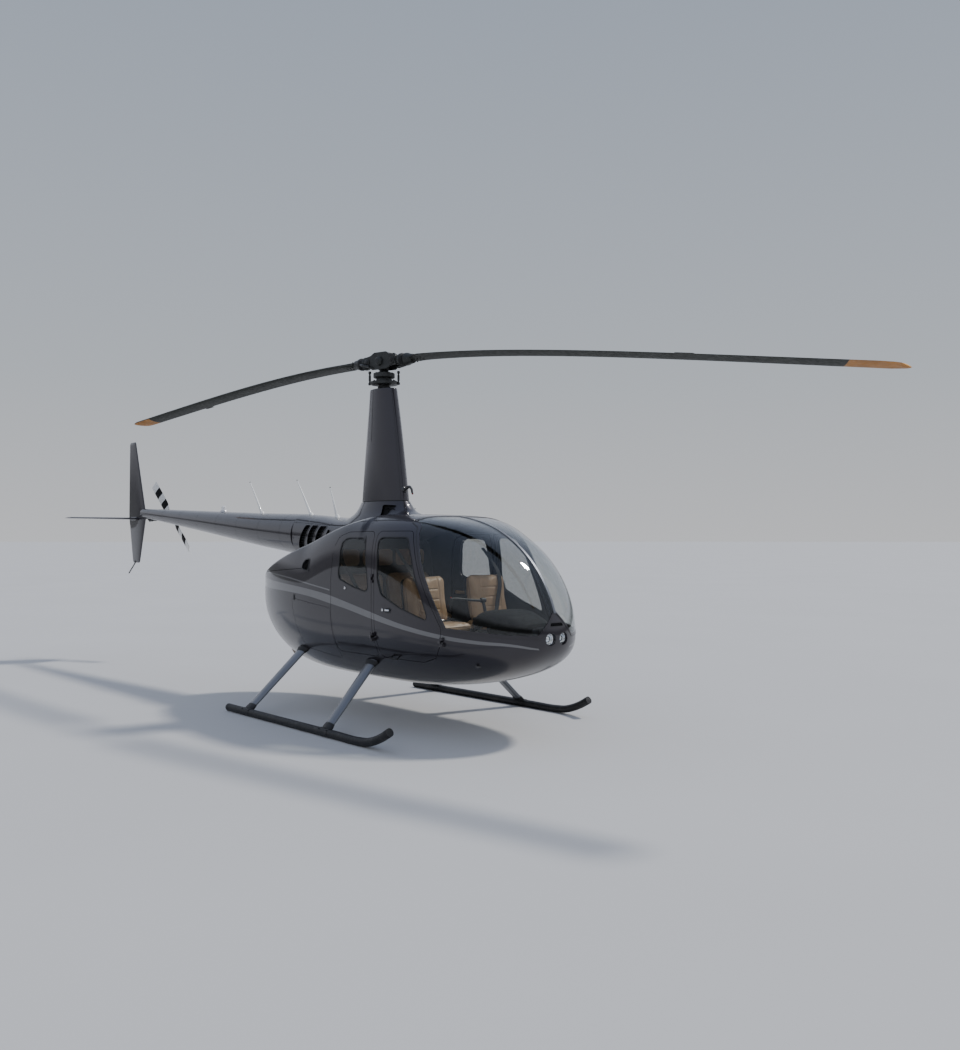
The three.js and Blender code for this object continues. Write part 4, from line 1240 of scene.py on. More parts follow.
def cowling():
    """Upper cowling with its slanted louvers and seams."""
    SEAM_HALF, SEAM_X = 0.0012, -0.25
    skin = surface_of(cowl_point(np.linspace(COWL_X[0], COWL_X[-1], 120)[:, None], circle(120)[None]))
    seam = lambda p: p[:, 2] - spline(COWL_X, COWL_Z, p[:, 0]) - 0.135
    lines = [louver.far for louver in LOUVERS] + [beyond(louver.far, 0.007) for louver in LOUVERS]
    lines += [*beyond(seam, -SEAM_HALF, SEAM_HALF), *beyond(ahead_of(SEAM_X), -SEAM_HALF, SEAM_HALF)]
    skin = skin.split(beyond(above_pod, -0.012), *lines).pick(over(above_pod, -0.012))

    def hole(c, grow=0.0):
        return np.any([louver.far(c) < grow for louver in LOUVERS], axis=0)

    def gap(c):
        joint = (np.abs(seam(c)) < SEAM_HALF) | (np.abs(c[:, 0] - SEAM_X) < SEAM_HALF)
        return joint & (above_pod(c) > 0.004)

    shape, inside = Shape(), Shape()
    skin.pick(lambda c: ~hole(c) & ~gap(c)).plate(shape, 0, 0.01)
    skin.pick(lambda c: hole(c, 0.007) & ~hole(c)).plate(shape, 0.0025, 0.004)
    skin.pick(gap).plate(shape, -0.006, 0.009, 1)
    for _, side in SIDES:
        for x, angle in ((-1.32, 0.62), (-1.32, -0.1), (-1.06, 0.75), (-0.62, 0.75), (-0.3, 0.75), (-0.3, 0.2)):
            angle = angle if side == LEFT else math.pi - angle
            at, before, after = cowl_point(x, np.array([angle, angle - 0.01, angle + 0.01]))
            shape.add(studs([at], [unit(np.cross(after - before, [1, 0, 0]))], 9, 3), 2)
    build("cowling_skin", shape, "paint rubber paint", "upper_cowling")

    # Near-black sheet sunk behind the louver openings: painted shade.
    skin.pick(lambda c: hole(c, 0.007)).plate(inside, -0.03, 0.034)
    for louver in LOUVERS:
        low, high = louver.points.min(0), louver.points.max(0)
        for share in np.linspace(0.08, 0.92, max(3, int((high[1] - low[1]) / 0.026))):
            z = low[1] + share * (high[1] - low[1])
            row = stacked(np.linspace(low[0], high[0], 200), 0, z)
            open_x = row[louver.far(row) < 0.003, 0]
            x = np.linspace(open_x.min(), open_x.max(), 5)
            centre, half_w, half_h = cowl_at(x)
            share_up = np.clip(np.abs(z - centre) / half_h, 0, 1)
            y = half_w * (1 - share_up ** COWL_POWER) ** (1 / COWL_POWER) - 0.01
            inside.add([tube(stacked(x, side * y, z), 7.5, 8, (0, 0, 1), 0.28) for _, side in SIDES], 1)
    build("cowling_louvers", inside, "dark_hole plastic")


def roof_under(x, y):
    """Height of the cowling or the pod's top at x and y."""
    low, high = np.full(x.shape, 1.15), np.full(x.shape, 2.0)
    for _ in range(26):
        middle = (low + high) / 2
        below = above_pod(stacked(x, y, middle).reshape(-1, 3)).reshape(x.shape) < 0
        low, high = np.where(below, middle, low), np.where(below, high, middle)
    z, w, h = cowl_at(x)
    share = np.clip(np.abs(y) / w, 0, 1)
    cowl = np.where(share < 1, z + h * (1 - share ** COWL_POWER) ** (1 / COWL_POWER), 0)
    return np.maximum(low, np.where(x < COWL_X[-1], cowl, 0))


def ellipse_rows(z, x, a, b, count):
    z, x, a, b = (np.asarray(v, float)[:, None] for v in (z, x, a, b))
    return stacked(x + a * np.cos(circle(count)), b * np.sin(circle(count)), z)


def mast_base():
    """Flared foot of the fairing, blended into the cowling, with an air intake on each side."""
    BLEND = 0.045
    z = np.linspace(BASE_Z[0] - 0.035, BASE_Z[-1], 44)
    spread = 1 + np.clip(BASE_Z[0] - z, 0, None) * 2.0
    x, a, b = (spline(BASE_Z, v, np.clip(z, BASE_Z[0], None)) for v in (BASE_X, BASE_A, BASE_B))
    rows = ellipse_rows(z, x, a * spread, b * spread, 128)
    ground = roof_under(rows[..., 0], rows[..., 1])
    h = np.maximum(BLEND - np.abs(rows[..., 2] - ground), 0) / BLEND
    sink = 0.01 * (1 - np.linspace(0, 1, len(z)) / 0.12).clip(0, 1)[:, None]
    rows[..., 2] = np.maximum(rows[..., 2], ground) + h * h * BLEND / 4 - sink
    rows[-1, :, 2] = BASE_Z[-1]
    skin = surface_of(rows).split(INTAKE.far, beyond(INTAKE.far, 0.006))
    shape, inside = Shape(), Shape()
    skin.pick(over(INTAKE.far)).plate(shape, 0, 0.006)
    skin.pick(between(INTAKE.far, 0, 0.006)).plate(shape, 0.002, 0.005)
    build("mast_base_skin", shape, "paint", "upper_cowling")
    # Near-black sheet sunk behind each intake: painted shade.
    skin.pick(under(INTAKE.far, 0.006)).plate(inside, -0.026, 0.03)
    for _, side in SIDES:
        for z in (1.89, 1.92, 1.95):
            vane = stacked(np.linspace(0.215, 0.31 + (z - 1.89) * 0.4, 4), side * 0.13, z)
            inside.add(tube(vane, 6, 8, (0, 0, 1), 0.4), 1)
    build("mast_base_intakes", inside, "dark_hole plastic")


def fairing():
    """Tall tapered fairing of the mast in four panels."""
    FOOT_Z, JOINT_Z = 2.0265, 2.606
    z = np.linspace(FAIRING_Z[0], FAIRING_Z[-1], 60)
    x, a, b = fairing_at(z)
    edge = np.array([0.004, 0.012])
    skin = surface_of(ellipse_rows(np.r_[z, FAIRING_Z[-1] + 0.004, FAIRING_Z[-1] + 0.005], np.r_[x, x[-1], x[-1]],
                                   np.r_[a, a[-1] - edge], np.r_[b, b[-1] - edge], 96))

    def turn(p):
        x, a, b = fairing_at(p[:, 2], lambda knots, values, at: np.interp(at, knots, values))
        return np.abs(np.arctan2(p[:, 1] / b, (p[:, 0] - x) / a))

    slits = [(math.radians(18), 0.006, 2.0), (math.radians(101), 0.014, JOINT_Z)]
    lines = [lambda p, t=t, d=d: turn(p) - t - d for t, w, _ in slits for d in (-w, w)]
    skin = skin.split(*lines, *beyond(lambda p: p[:, 2], FOOT_Z, JOINT_Z))

    def gap(c):
        open_slits = [(np.abs(turn(c) - t) < w) & (c[:, 2] > low) for t, w, low in slits]
        return np.any(open_slits, axis=0) | (c[:, 2] < FOOT_Z)

    shape, probe = Shape(), Shape()
    skin.pick(lambda c: ~gap(c)).plate(shape, 0, 0.006)
    skin.pick(gap).plate(shape, -0.0035, 0.006, 1)
    surface_of(ellipse_rows((3.1195, 3.1195, 3.113, 3.113), (-0.01, -0.01, -0.006, 0), (0.167, 0.09, 0.075, 0.064),
                            (0.089, 0.07, 0.066, 0.064), 96)).plate(shape, 0, 0.004, 1)
    collar = [(0, 62), (28, 62), (29, 60), (29, 38), (28, 36), (0, 36)]
    shape.add(hoop(turned_rings((0, 0, 3.118), (0, 0, 4), collar, 48)), 1)
    levels = np.linspace(2.07, 3.08, 13)
    x, a, b = fairing_at(levels)
    for _, side in SIDES:
        for t, offset in ((18, 0.06), (18, -0.06), (101, 0.085), (101, -0.085)):
            c, s = spoke(side * (math.radians(t) + offset))
            shape.add(studs(stacked(x + a * c, b * s, levels), unit(stacked(c / a, s / b, 0.3)), 3.8, 1.2), 2)
    build("mast_fairing_skin", shape, "paint rubber paint", "mast_fairing")

    path = curve_through(mm((300, 0, 2122), (353, 0, 2137), (408, 0, 2151), (435, 0, 2131), (447, 0, 2097),
                            (453, 0, 2083)), 30)
    probe.add(tube(path, np.interp(np.linspace(0, 1, 30), [0, 0.5, 1], [19, 14, 9]), 16))
    probe.add(lathe((0.316, 0, 2.126), (0.38, 0, 2.144), [(0, 34), (12, 34), (20, 28), (24, 18)], 24))
    probe.add(rod((0.4515, 0, 2.0845), (0.4555, 0, 2.0805), 7.5), 1)
    build("pitot_head", probe, "black_paint red", "pitot_tube")


def boom():
    """Tapered tail boom in riveted sections."""
    SEAM_HALF = 0.0011
    x = np.linspace(BOOM_X[0], BOOM_X[-1], 150)[:, None]
    z, r = boom_at(x)
    skin = surface_of(stacked(x, r * np.cos(circle(72)), z + r * np.sin(circle(72))))
    lines = [line for s in BOOM_SEAMS for line in beyond(ahead_of(s), -SEAM_HALF, SEAM_HALF)]
    skin = skin.split(beyond(above_pod, -0.012), *lines).pick(over(above_pod, -0.012))

    def gap(c):
        return np.any([np.abs(c[:, 0] - s) < SEAM_HALF for s in BOOM_SEAMS], axis=0)

    shape, rivets = Shape(), Shape()
    skin.pick(lambda c: ~gap(c)).plate(shape, 0, 0.004)
    skin.pick(gap).plate(shape, -0.0016, 0.003, 1)
    shape.add(lathe((-5.6405, 0, 2.03), (-5.7, 0, 2.0346),
                    [(0, 62), (4, 62), (30, 58), (45, 48), (52, 30), (53, 3)], 40))
    build("tail_boom_skin", shape, "paint rubber", "tail_boom")
    for seam in BOOM_SEAMS:
        around = circle(max(14, int(2 * math.pi * boom_at(seam)[1] / 0.036)))
        ways = stacked(0, np.cos(around), np.sin(around))
        for x in (seam - 0.012, seam + 0.012):
            z, r = boom_at(x)
            points = [x, 0, z] + ways * r
            keep = above_pod(points) > 0.005
            rivets.add(studs(points[keep], ways[keep], 2.8, 0.9))
    x = np.arange(-5.5, -1.45, 0.055)
    z, r = boom_at(x)
    for _, side in SIDES:
        rivets.add(studs(stacked(x, side * r, z), np.tile([0, side, 0], (len(x), 1)), 2.8, 0.9))
    build("tail_boom_rivets", rivets, "paint")


def rounded_stations(stations, tip, count):
    """Wing stations closer together and shrinking round at both ends."""
    at, *others = np.transpose(stations)
    low, high = at[0], at[-1]
    ends = tip * np.array([0.03, 0.12, 0.3, 0.6, 1])
    rows = []
    for p in np.sort(np.r_[np.linspace(low, high, count), low + ends, high - ends]):
        nose, chord, thick = (np.interp(p, at, v) for v in others)
        shrink = math.sqrt(max(1 - (1 - min(min(p - low, high - p) / tip, 1)) ** 2, 0.0))
        rows.append((p, nose - chord * 0.35 * (1 - shrink) * 0.35, chord * (1 - 0.35 * (1 - shrink)),
                     thick * max(shrink, 0.02)))
    return rows


def fin_and_stabilizer():
    """Vertical fin above and below the boom, the stabilizer on the right side, stinger and tail light."""
    fin, flat, rail, lens = Shape(), Shape(), Shape(), Shape()
    fin.add(loft(wing(rounded_stations(FIN, 0.03, 36), lambda at, x, z: stacked(x, z / 2, at))))
    for level in (2.155, 1.885):
        levels, *others = np.transpose(FIN)
        nose, chord, thick = (np.interp(level, levels, v) for v in others)
        x = np.arange(nose - chord + 0.04, nose - 0.05, 0.05)
        for _, side in SIDES:
            y = side * thick / 2 * wing_height((nose - x) / chord)
            fin.add(studs(stacked(x, y, level), np.tile([0, side, 0], (len(x), 1)), 3.2, 1), 1)
    build("fin_skin", fin, "paint paint", "vertical_fin")
    flat.add(loft(wing(rounded_stations(STABILIZER, 0.02, 24), lambda at, x, z: stacked(x, at, 1.955 + z / 2))))
    flat.add(slab((-5.905, -0.03, 1.955), (200, 50, 46), 6, 20), 1)
    build("stabilizer_skin", flat, "paint paint", "horizontal_stabilizer")
    rail.add(tube([(-5.936, 0, 1.348), (-6, 0, 1.303), (-6.1, 0, 1.2325), (-6.178, 0, 1.1775)], 8.8, 16))
    rail.add(rod((-6.165, 0, 1.1866), (-6.18, 0, 1.176), 9.5), 1)
    rail.add(slab((-5.935, 0, 1.352), (70, 18, 28), 3), 1)
    build("stinger_rod", rail, "black_paint rubber", "tail_skid_rod")
    behind = (-5.75, 0, 2.0385)
    lens.add(lathe((-5.697, 0, 2.0345), behind, [(-6, 30), (6, 30), (10, 28)], 24), 1)
    lens.add(lathe((-5.706, 0, 2.0352), behind, [(0, 26), (14, 25), (24, 18), (28, 6)], 24))
    build("tail_light", lens, "lens steel")


TAIL_BANDS = (0.2, 0.335, 0.47, 0.615)
TAIL_PITCH = math.radians(14)


def tail_rotor():
    """Gearbox on the boom's end, teetering hub and two blades."""
    on_axis = shifted(TAIL_AXIS[0], 0, TAIL_AXIS[2])
    out = np.array([0, 1, 0])
    box, hub = Shape(on_axis), Shape(on_axis)
    box.add(lathe((0, 0.008, 0), out, [
        (0, 50), (100, 49), (112, 66), (120, 78), (150, 78.5), (156, 84), (166, 84), (172, 76), (245, 68), (255, 60),
        (262, 46), (300, 40), (385, 36), (392, 32)], 48))
    box.add([bolt((0.075 * c, 0.166, 0.075 * s), out, 6, 6) for c, s in spokes(8)], 1)
    for c, s in spokes(10):
        way = np.array([c, 0, s])
        box.add(slab([0, 0.21, 0] + way * 0.07, (60, 4, 16), 1, None, out, np.cross(way, out)))
    box.add(lathe((0, 0.14, -0.07), (0, 0.14, -1), [(0, 12), (16, 12), (19, 9)], 16), 1)
    box.add(rod((0.02, 0.14, 0.066), (0.02, 0.14, 0.094), 14), 1)
    hose = mm((60, 50, 30), (85, 160, 30), (75, 270, 12), (42, 340, 0))
    box.add(tube(curve_through(hose, 30), 6, 10), 1)
    build("tail_gearbox_case", box, "dark_metal steel", "tail_gearbox")

    c, s = spoke(TAIL_BLADE_ANGLE)
    span, chordwise = np.array([c, 0, s]), np.array([-s, 0, c])
    hub.add(lathe(out * 0.4015, out, [(0, 20), (20, 20), (24, 50), (30, 52), (70, 45), (78, 40), (80, 20),
                                      (88.5, 18)], 36))
    for sign in SIGNS:
        way, at = span * sign, out * 0.455
        hub.add(lathe(at, at + way, [(20, 22), (52, 23.5), (56, 23.5), (60, 19), (94, 18), (103, 22), (103.7, 20)], 24))
        hub.add([bolt(at + way * d + out * 0.016, out, 8, 7) for d in (0.07, 0.088)], 1)
        horn = at + chordwise * sign * 0.045 + way * 0.062 - out * 0.004
        hub.add(tube([at + way * 0.062, horn], [11, 8], 12))
        hub.add(rod(horn, horn - out * 0.045, 5), 1)
    hub.add(bolt(out * 0.484, out, 13, 5.5), 1)
    build("tail_rotor_hub_set", hub, "dark_metal steel", "tail_rotor_hub", "tail_rotor_body")

    radii = np.sort(np.r_[0.1055, 0.12, np.linspace(0.135, 0.72, 22), TAIL_BANDS, 0.74, 0.752, 0.758, 0.76])
    chord = np.interp(radii, [0.105, 0.15, 0.24, 0.742, 0.76], [0.06, 0.085, TAIL_CHORD, TAIL_CHORD, 0.112])
    thick = np.interp(radii, [0.105, 0.24, 0.74, 0.756, 0.76], [0.026, 0.02, 0.0145, 0.009, 0.003])
    bands = np.searchsorted(TAIL_BANDS, (radii[:-1] + radii[1:]) / 2) % 2
    c, s = spoke(TAIL_PITCH)
    for name, sign in zip(("upper", "lower"), SIGNS):
        along, upright = sign * chordwise * c - out * s, out * c + sign * chordwise * s
        rings = wing(zip(radii, chord / 2, chord, thick), lambda at, x, z: (
            TAIL_AXIS + sign * span * at + np.outer(x, along) + np.outer(z / 2, upright)))
        shape = Shape().add(loft(rings), np.r_[np.repeat(bands, len(rings[0])), 0, 0])
        build(f"tail_blade_{name}_skin", shape, "white band_black", f"tail_blade_{name}", "tail_rotor_body")


# Main rotor


def turned(axis, angle):
    m = np.eye(4)
    a, b = {"Z": (0, 1), "Y": (2, 0)}[axis]
    c, s = spoke(angle)
    m[a, a], m[a, b], m[b, a], m[b, b] = c, -s, s, c
    return m


def shifted(x, y, z):
    m = np.eye(4)
    m[:3, 3] = x, y, z
    return m


TO_MAST = shifted(0, 0, TEETER_Z) @ turned("Z", ROTOR_AZIMUTH)
TO_ROTOR = TO_MAST @ turned("Y", TEETER_REST)
FEATHER = 0.04


def droop(r):
    s = np.clip((r - 0.25) / (ROTOR_RADIUS - 0.25), 0, 1)
    return -BLADE_DROOP * s * s * (6 - 4 * s + s * s) / 3


def blade_height(r, y):
    """Height of the blade's middle at a radius, with its edge on the right side feathered up."""
    return droop(r) - FEATHER * y


def main_blades():
    """Two long drooping blades with painted tips, metal noses and a trim tab; the tips' undersides get a darker copy of
    the orange as painted shade.
    """
    BAND, SLANT, TAB_AT, NOSE = 4.64, 0.16, 3.52, 0.0762
    radii = np.sort(np.r_[np.linspace(BLADE_ROOT, 0.75, 12), np.linspace(0.85, 4.85, 44), BAND - 0.004, BAND,
                          4.905, 4.95, 4.985, 5.008, 5.022, 5.029, 5.03])[:, None]
    knots = [0.43, 0.5, 0.64, 4.905, 5.0, 5.03]
    chord = np.interp(radii, knots, [0.118, 0.15, BLADE_CHORD, BLADE_CHORD, 0.222, 0.175])
    nose = np.interp(radii, knots, [0.05, 0.06, NOSE, NOSE, 0.056, 0.03])
    thick = np.interp(radii, [0.43, 0.64, 1.2, 4.9, 5.02, 5.03], [0.05, 0.034, 0.032, 0.031, 0.02, 0.006])
    u, t = wing_profile()
    tips = (radii[:-1] + radii[1:]) / 2 > BAND
    # Tips: the orange paint on the upper faces, and a darker copy on the lower faces as painted shade.
    tip_paint_and_shade = np.where(tips, np.where(t + np.roll(t, -1) > 0, 2, 3), 0)
    codes = np.where((u + np.roll(u, -1)) / 2 < 0.035, 1, tip_paint_and_shade).ravel()
    at = radii + SLANT * (u - 0.5) * np.maximum(0, 1 - np.abs(radii - BAND) / 0.3)
    for name, sign in zip(("forward", "aft"), SIGNS):
        y = sign * (nose - u * chord)
        rings = stacked(sign * at, y, t * thick / 2 + blade_height(at, y))
        shape = Shape(TO_ROTOR).add(loft(rings), np.r_[codes, 0, 2])
        y = sign * (NOSE - BLADE_CHORD - 0.012)
        fall = float(droop(TAB_AT + 0.1) - droop(TAB_AT)) * 10 * sign
        shape.add(slab((sign * TAB_AT, y, blade_height(TAB_AT, y)), (160, 34, 2.2), 0.6, 6, (1, 0, fall),
                       (0, 1, -FEATHER)))
        for k, r in enumerate((0.455, 0.52, 0.585)):
            lift = np.interp(r, [0.43, 0.64], [0.05, 0.034]) * 0.44
            for y in (-0.022 - 0.02 * k, 0.026 - 0.02 * k):
                shape.add([bolt((sign * r, sign * y, blade_height(r, sign * y) + up * lift), (0, 0, up), 8.5, 9)
                           for up in SIGNS], 4)
        build(f"main_blade_{name}_skin", shape, "blade blade_nose tip_upper tip_lower dark_metal",
              f"main_blade_{name}", "main_rotor_body")


def rotor_hub():
    """Teetering hub with coning hinges, spindles, boots and pitch horns; mast, swashplate and links."""
    hub, mast, swash = Shape(TO_ROTOR), Shape(), Shape()
    side_view = rounded(mm((-235, -44), (-150, -52), (-110, -78), (110, -78), (150, -52), (235, -44), (235, 46),
                           (140, 62), (85, 90), (-85, 90), (-140, 62), (-235, 46)), 0.018)
    hub.add([plate(side_view, (0, y, 0), (1, 0, 0), (0, 0, 1), 0.018, 0.002) for y in (-0.044, 0.062)])
    hub.add(slab((0, 0, 0.062), (170, 94, 50), 6, 12))
    for y in (-1, 1):
        hub.add(lathe((0, y * 0.05, 0), (0, y, 0), [(0, 44), (30, 44), (36, 40), (40, 28), (44.5, 26)], 32))
        hub.add(bolt((0, y * 0.0935, 0), (0, y, 0), 20, 1.5), 1)
    pleats = [(276 + 5.5 * k, 53 if k % 2 else 60.5) for k in range(9)]
    for sign in SIGNS:
        pin, way = sign * 0.185, (sign, 0, 0)
        hub.add(rod((pin, -0.078, 0), (pin, 0.078, 0), 22), 1)
        hub.add([lathe((pin, y * 0.058, 0), (pin, y, 0), [(0, 36), (10, 36), (14, 30), (14.5, 20)], 28)
                 for y in (-1, 1)])
        hub.add(lathe((0, 0, 0), way, [(118, 30), (130, 40), (225, 43), (240, 58), (252, 64), (268, 65.5), (276, 60),
                                       (276.5, 45)], 32))
        hub.add(lathe((0, 0, 0), way, [(272, 45), *pleats, (326.5, 45)], 36), 2)
        hub.add(lathe((0, 0, 0), way, [(322, 45), (328, 58), (334, 62), (352, 60), (372, 52.5), (405, 47), (422, 45),
                                       (428.5, 41)], 32))
        horn = curve_through([(sign * x, sign * y, z) for x, y, z in
                              mm((300, 45, -10), (215, 94, -30), (115, 90, -50))], 12)
        hub.add(tube(horn, np.linspace(18, 12, 12), 14, (0, 0, 1), 0.8))
        hub.add([bolt((sign * 0.352, 0.052 * c, 0.052 * s), way, 5.5, 7) for c, s in spokes(8)], 1)
    build("rotor_hub_set", hub, "hub_metal dark_metal rubber", "rotor_hub", "main_rotor_body")

    mast.add(lathe((0, 0, 1.905), (0, 0, 3.4), [(0, 30), (1100, 30), (1360, 29.8), (1380, 27), (1470, 27),
                                                (1484.5, 25)], 32))
    mast.add([rod((0, 0, 0), (0, y * 0.0434, 0), 15.8) for y in (-1, 1)], 0, TO_MAST)
    mast.add(slab((0, 0, 0), (50, 56, 50), 6, 10), 0, TO_MAST)
    build("rotor_mast_shaft", mast, "dark_metal", "rotor_mast", "rotor_mast_body")

    boot = [(136 + 7 * k, 46 if k % 2 else 40) for k in range(6)]
    swash.add(lathe((0, 0, 3.15), (0, 0, 4), [
        (0, 33), (0.2, 52), (8, 52), (12, 110), (16, 134), (40, 133.5), (46, 112), (52, 80), (78, 74), (82, 100),
        (86, 105), (124, 104.5), (128, 96), (131, 58), *boot, (180, 33)], 48))
    for count, radius, level in ((10, 0.082, 3.2795), (12, 0.122, 3.193)):
        swash.add([bolt((radius * c, radius * s, level), (0, 0, 1), 6, 6) for c, s in spokes(count)], 1)
    link = [(0, 6), (4, 14.5), (24, 14.5), (28, 8.5), (40, 8), (44, 11.5), (96, 11.5), (100, 8), (110, 8.5), (114, 14),
            (134, 14), (138, 6)]
    for sign in SIGNS:
        x, y = sign * 0.112, sign * 0.088
        arm = curve_through([(x * 0.6, y * 0.6, -0.19), (x * 0.85, y * 0.85, -0.205), (x, y, -0.212)], 12)
        swash.add(tube(arm, np.linspace(20, 14, 12), 14), 0, TO_MAST)
        swash.add(lathe((x, y, -0.228), (x, y, 0), link, 20), 1, TO_MAST)
    build("swashplate_set", swash, "hub_metal dark_metal", "swashplate", "rotor_mast_body")


# Landing gear, lamps and antennas

SKID_LINE = mm((-960, 35), (-600, 35), (200, 35), (900, 35), (1240, 36), (1340, 45), (1430, 69), (1530, 109),
               (1636, 166))
STRUTS = (("front", 0.735, 0.64), ("aft", -0.587, -0.507))


def grown(ring, share):
    centre = ring.mean(0)
    return centre + (ring - centre) * share


def skid(label, side):
    """Skid tube with its end caps, wear shoes and strut saddles."""
    y = side * SKID_Y
    path = curve_through([(x, y, z) for x, z in SKID_LINE], 110)
    shape = Shape().add(tube(path, 34.9, 32, (0, 0, 1)))
    for at, before in ((path[0], path[2]), (path[-1], path[-3])):
        way = unit(at - before)
        end = [(-35, 35.2), (-1, 35.2), (2, 33.5), (3.5, 28), (4, 4)]
        shape.add(lathe(at - way * 0.0035, at + way, end, 32), 1)
    turn = np.linspace(-2.1, -1.04, 9)
    arc = stacked(np.cos(turn), np.sin(turn))
    shoe = np.vstack([arc * 0.035, arc[::-1] * 0.033]) + [y, 0.035]
    for x0, x1 in ((-0.9, -0.42), (0.42, 1.05)):
        shape.add(loft([np.insert(shoe, 0, x, axis=1) for x in (x0, x0 + 0.004, x1 - 0.004, x1)]), 2)
    for _, x, _ in STRUTS:
        saddle = [(0, 35.5), (3, 38), (133, 38), (136, 35.5)]
        shape.add(lathe((x - 0.068, y, 0.036), (x + 1, y, 0.036), saddle, 32))
        shape.add([bolt((x + dx, y + dy, 0.058), (0, 0, 1), 7.5, 10)
                   for dx in (-0.056, 0.056) for dy in (-0.026, 0.026)], 3)
    build(f"skid_tube_{label}", shape, "skid rubber dark_metal dark_metal", f"skid_{label}")


def strut(label, side, name, foot_x, top_x):
    """Faired strut from its cuffs on the skid up into the belly, with a rubber flare."""
    foot, top = np.array([foot_x, 1.136, 0.058]), np.array([top_x, 0.52, 0.655])
    way = unit(top[1:] - foot[1:])
    turn, share = circle(40), np.linspace(0, 1, 60)[:, None]
    x, y, z = (foot[k] + (top[k] - foot[k]) * share for k in range(3))
    thick = (0.024 + 0.004 * share) * np.sin(turn) * (0.9 + 0.1 * np.cos(turn))
    rings = stacked(x + (0.056 + 0.012 * share) * np.cos(turn), side * (y + thick * way[1]), z - thick * way[0])
    stand = above_pod(rings.reshape(-1, 3)).reshape(rings.shape[:2]).max(1)
    last = np.flatnonzero(stand > -0.01).max() + 1
    shape = Shape().add(loft(rings[:min(last + 1, len(rings))]))
    up = unit(rings[5].mean(0) - rings[0].mean(0))
    for a, b, grow in ((0, 0.045, 1.16), (0.045, 0.062, 1.08)):
        shape.add(loft([grown(rings[0] + up * d, grow * k) for d, k in
                        ((a, 1), (a + 0.003, 1.03), (b - 0.003, 1.03), (b, 1))]), 1)
    near = int(np.argmin(np.abs(stand - 0.004)))
    shape.add(loft([grown(rings[max(near - k, 0)], grow) for k, grow in enumerate((1.34, 1.24, 1.14, 1.05))]), 2)
    build(f"{name}_strut_{label}_skin", shape, "strut_paint skid rubber", f"{name}_strut_{label}")


def landing_gear():
    for label, side in SIDES:
        skid(label, side)
        for row in STRUTS:
            strut(label, side, *row)


# Foot and tip of each antenna: x and z.
ANTENNAS = (("aft", -2.365, 1.958, -2.649, 2.334), ("middle", -1.316, 1.921, -1.603, 2.309),
            ("front", -0.816, 1.889, -0.949, 2.205))


def antennas_and_lights():
    """Whip antennas, beacon, landing lamps and exhaust."""
    for name, x, z, tip_x, tip_z in ANTENNAS:
        bow = [(x + (tip_x - x) * s - 0.01 * s * s + 0.01 * s, 0, z + (tip_z - z) * s) for s in (0, 0.33, 0.66, 1)]
        path = curve_through(bow, 24)
        shape = Shape().add(tube(path, np.linspace(15.5, 5.2, 24), 16))
        shape.add(lathe((x + 0.01, 0, z - 0.06), (x + 0.004, 0, z + 0.022),
                        [(30, 40), (52, 34.5), (60, 30), (75, 22), (83, 17.5)], 28))
        shape.add(rod(path[-1] - unit(path[-1] - path[-3]) * 0.012, path[-1], 5.8), 1)
        build(f"whip_antenna_{name}_rod", shape, "white rubber", f"whip_antenna_{name}")

    BEACON_X = -3.3
    foot = (BEACON_X, 0, sum(boom_at(BEACON_X)) - 0.01)
    top = (2.07 - foot[2]) * 1000
    ribs = [(18 + 4 * k, 37.5 - 1.2 * k + (0.8 if k % 2 else 0)) for k in range(8)]
    light = Shape().add(lathe(foot, (BEACON_X, 0, 3), [(0, 42.5), (14, 42.5), (18, 40), (22, 37)], 40), 1)
    light.add(lathe(foot, (BEACON_X, 0, 3), [*ribs, (top - 10, 27), (top - 4, 21), (top, 10)], 40))
    # The lens's pale colour is a painted highlight.
    build("beacon_lens", light, "pale_lens steel", "beacon")

    for label, side in SIDES:
        at, ahead = np.array([2.25, side * LAMP_Y, LAMP_Z]), np.array([3, side * LAMP_Y, LAMP_Z])
        bowl = Shape().add(lathe(at, ahead, [
            (-4, 18), (2, 30), (18, 42), (36, 47.5), (40, 49.5), (45.5, 50.5), (46, 49), (43.5, 46), (34, 44),
            (16, 37), (4, 22), (2.5, 4)], 48))
        bowl.add(lathe(at, ahead, [(2.2, 11), (18, 10), (26, 7), (28, 3)], 20), 1)
        for c, s in spokes(4, 0.4):
            edge = at + [0.0455, 0.0485 * c, 0.0485 * s]
            bowl.add(lathe(edge, edge + [1, 0, 0], [(-2, 2.2), (0.4, 2.2), (0.5, 1)], 8), 1)
        build(f"landing_lamp_{label}_bowl", bowl, "chrome steel", f"landing_lamp_{label}")
        glass = Shape().add(lathe(at, ahead, [(38.2, 44), (40.5, 44), (42.5, 30), (43.5, 12), (43.8, 2)], 40))
        build(f"landing_lamp_{label}_lens", glass, "lens")

    top, mouth = np.array([-1.13, 0, 0.84]), np.array([-1.545, 0, 0.455])
    end = np.linalg.norm(mouth - top) * 1000
    pipe = Shape().add(hoop(turned_rings(top, mouth, [
        (20, 80), (20, 91.5), (end - 100, 91.5), (end - 97, 91.8), (end - 12, 91.8), (end - 4, 91.5), (end, 88),
        (end, 84), (end - 6, 80), (30, 79.5)], 56)))
    # Near-black plug inside the pipe: painted shade.
    pipe.add(lathe(top, mouth, [(50, 78.5), (60, 78.5)], 40), 1)
    build("exhaust_tailpipe", pipe, "exhaust dark_hole", "exhaust_pipe")


# Cabin interior: upright slabs face along UPRIGHT

UPRIGHT = ((0, 1, 0), (0, 0, 1))
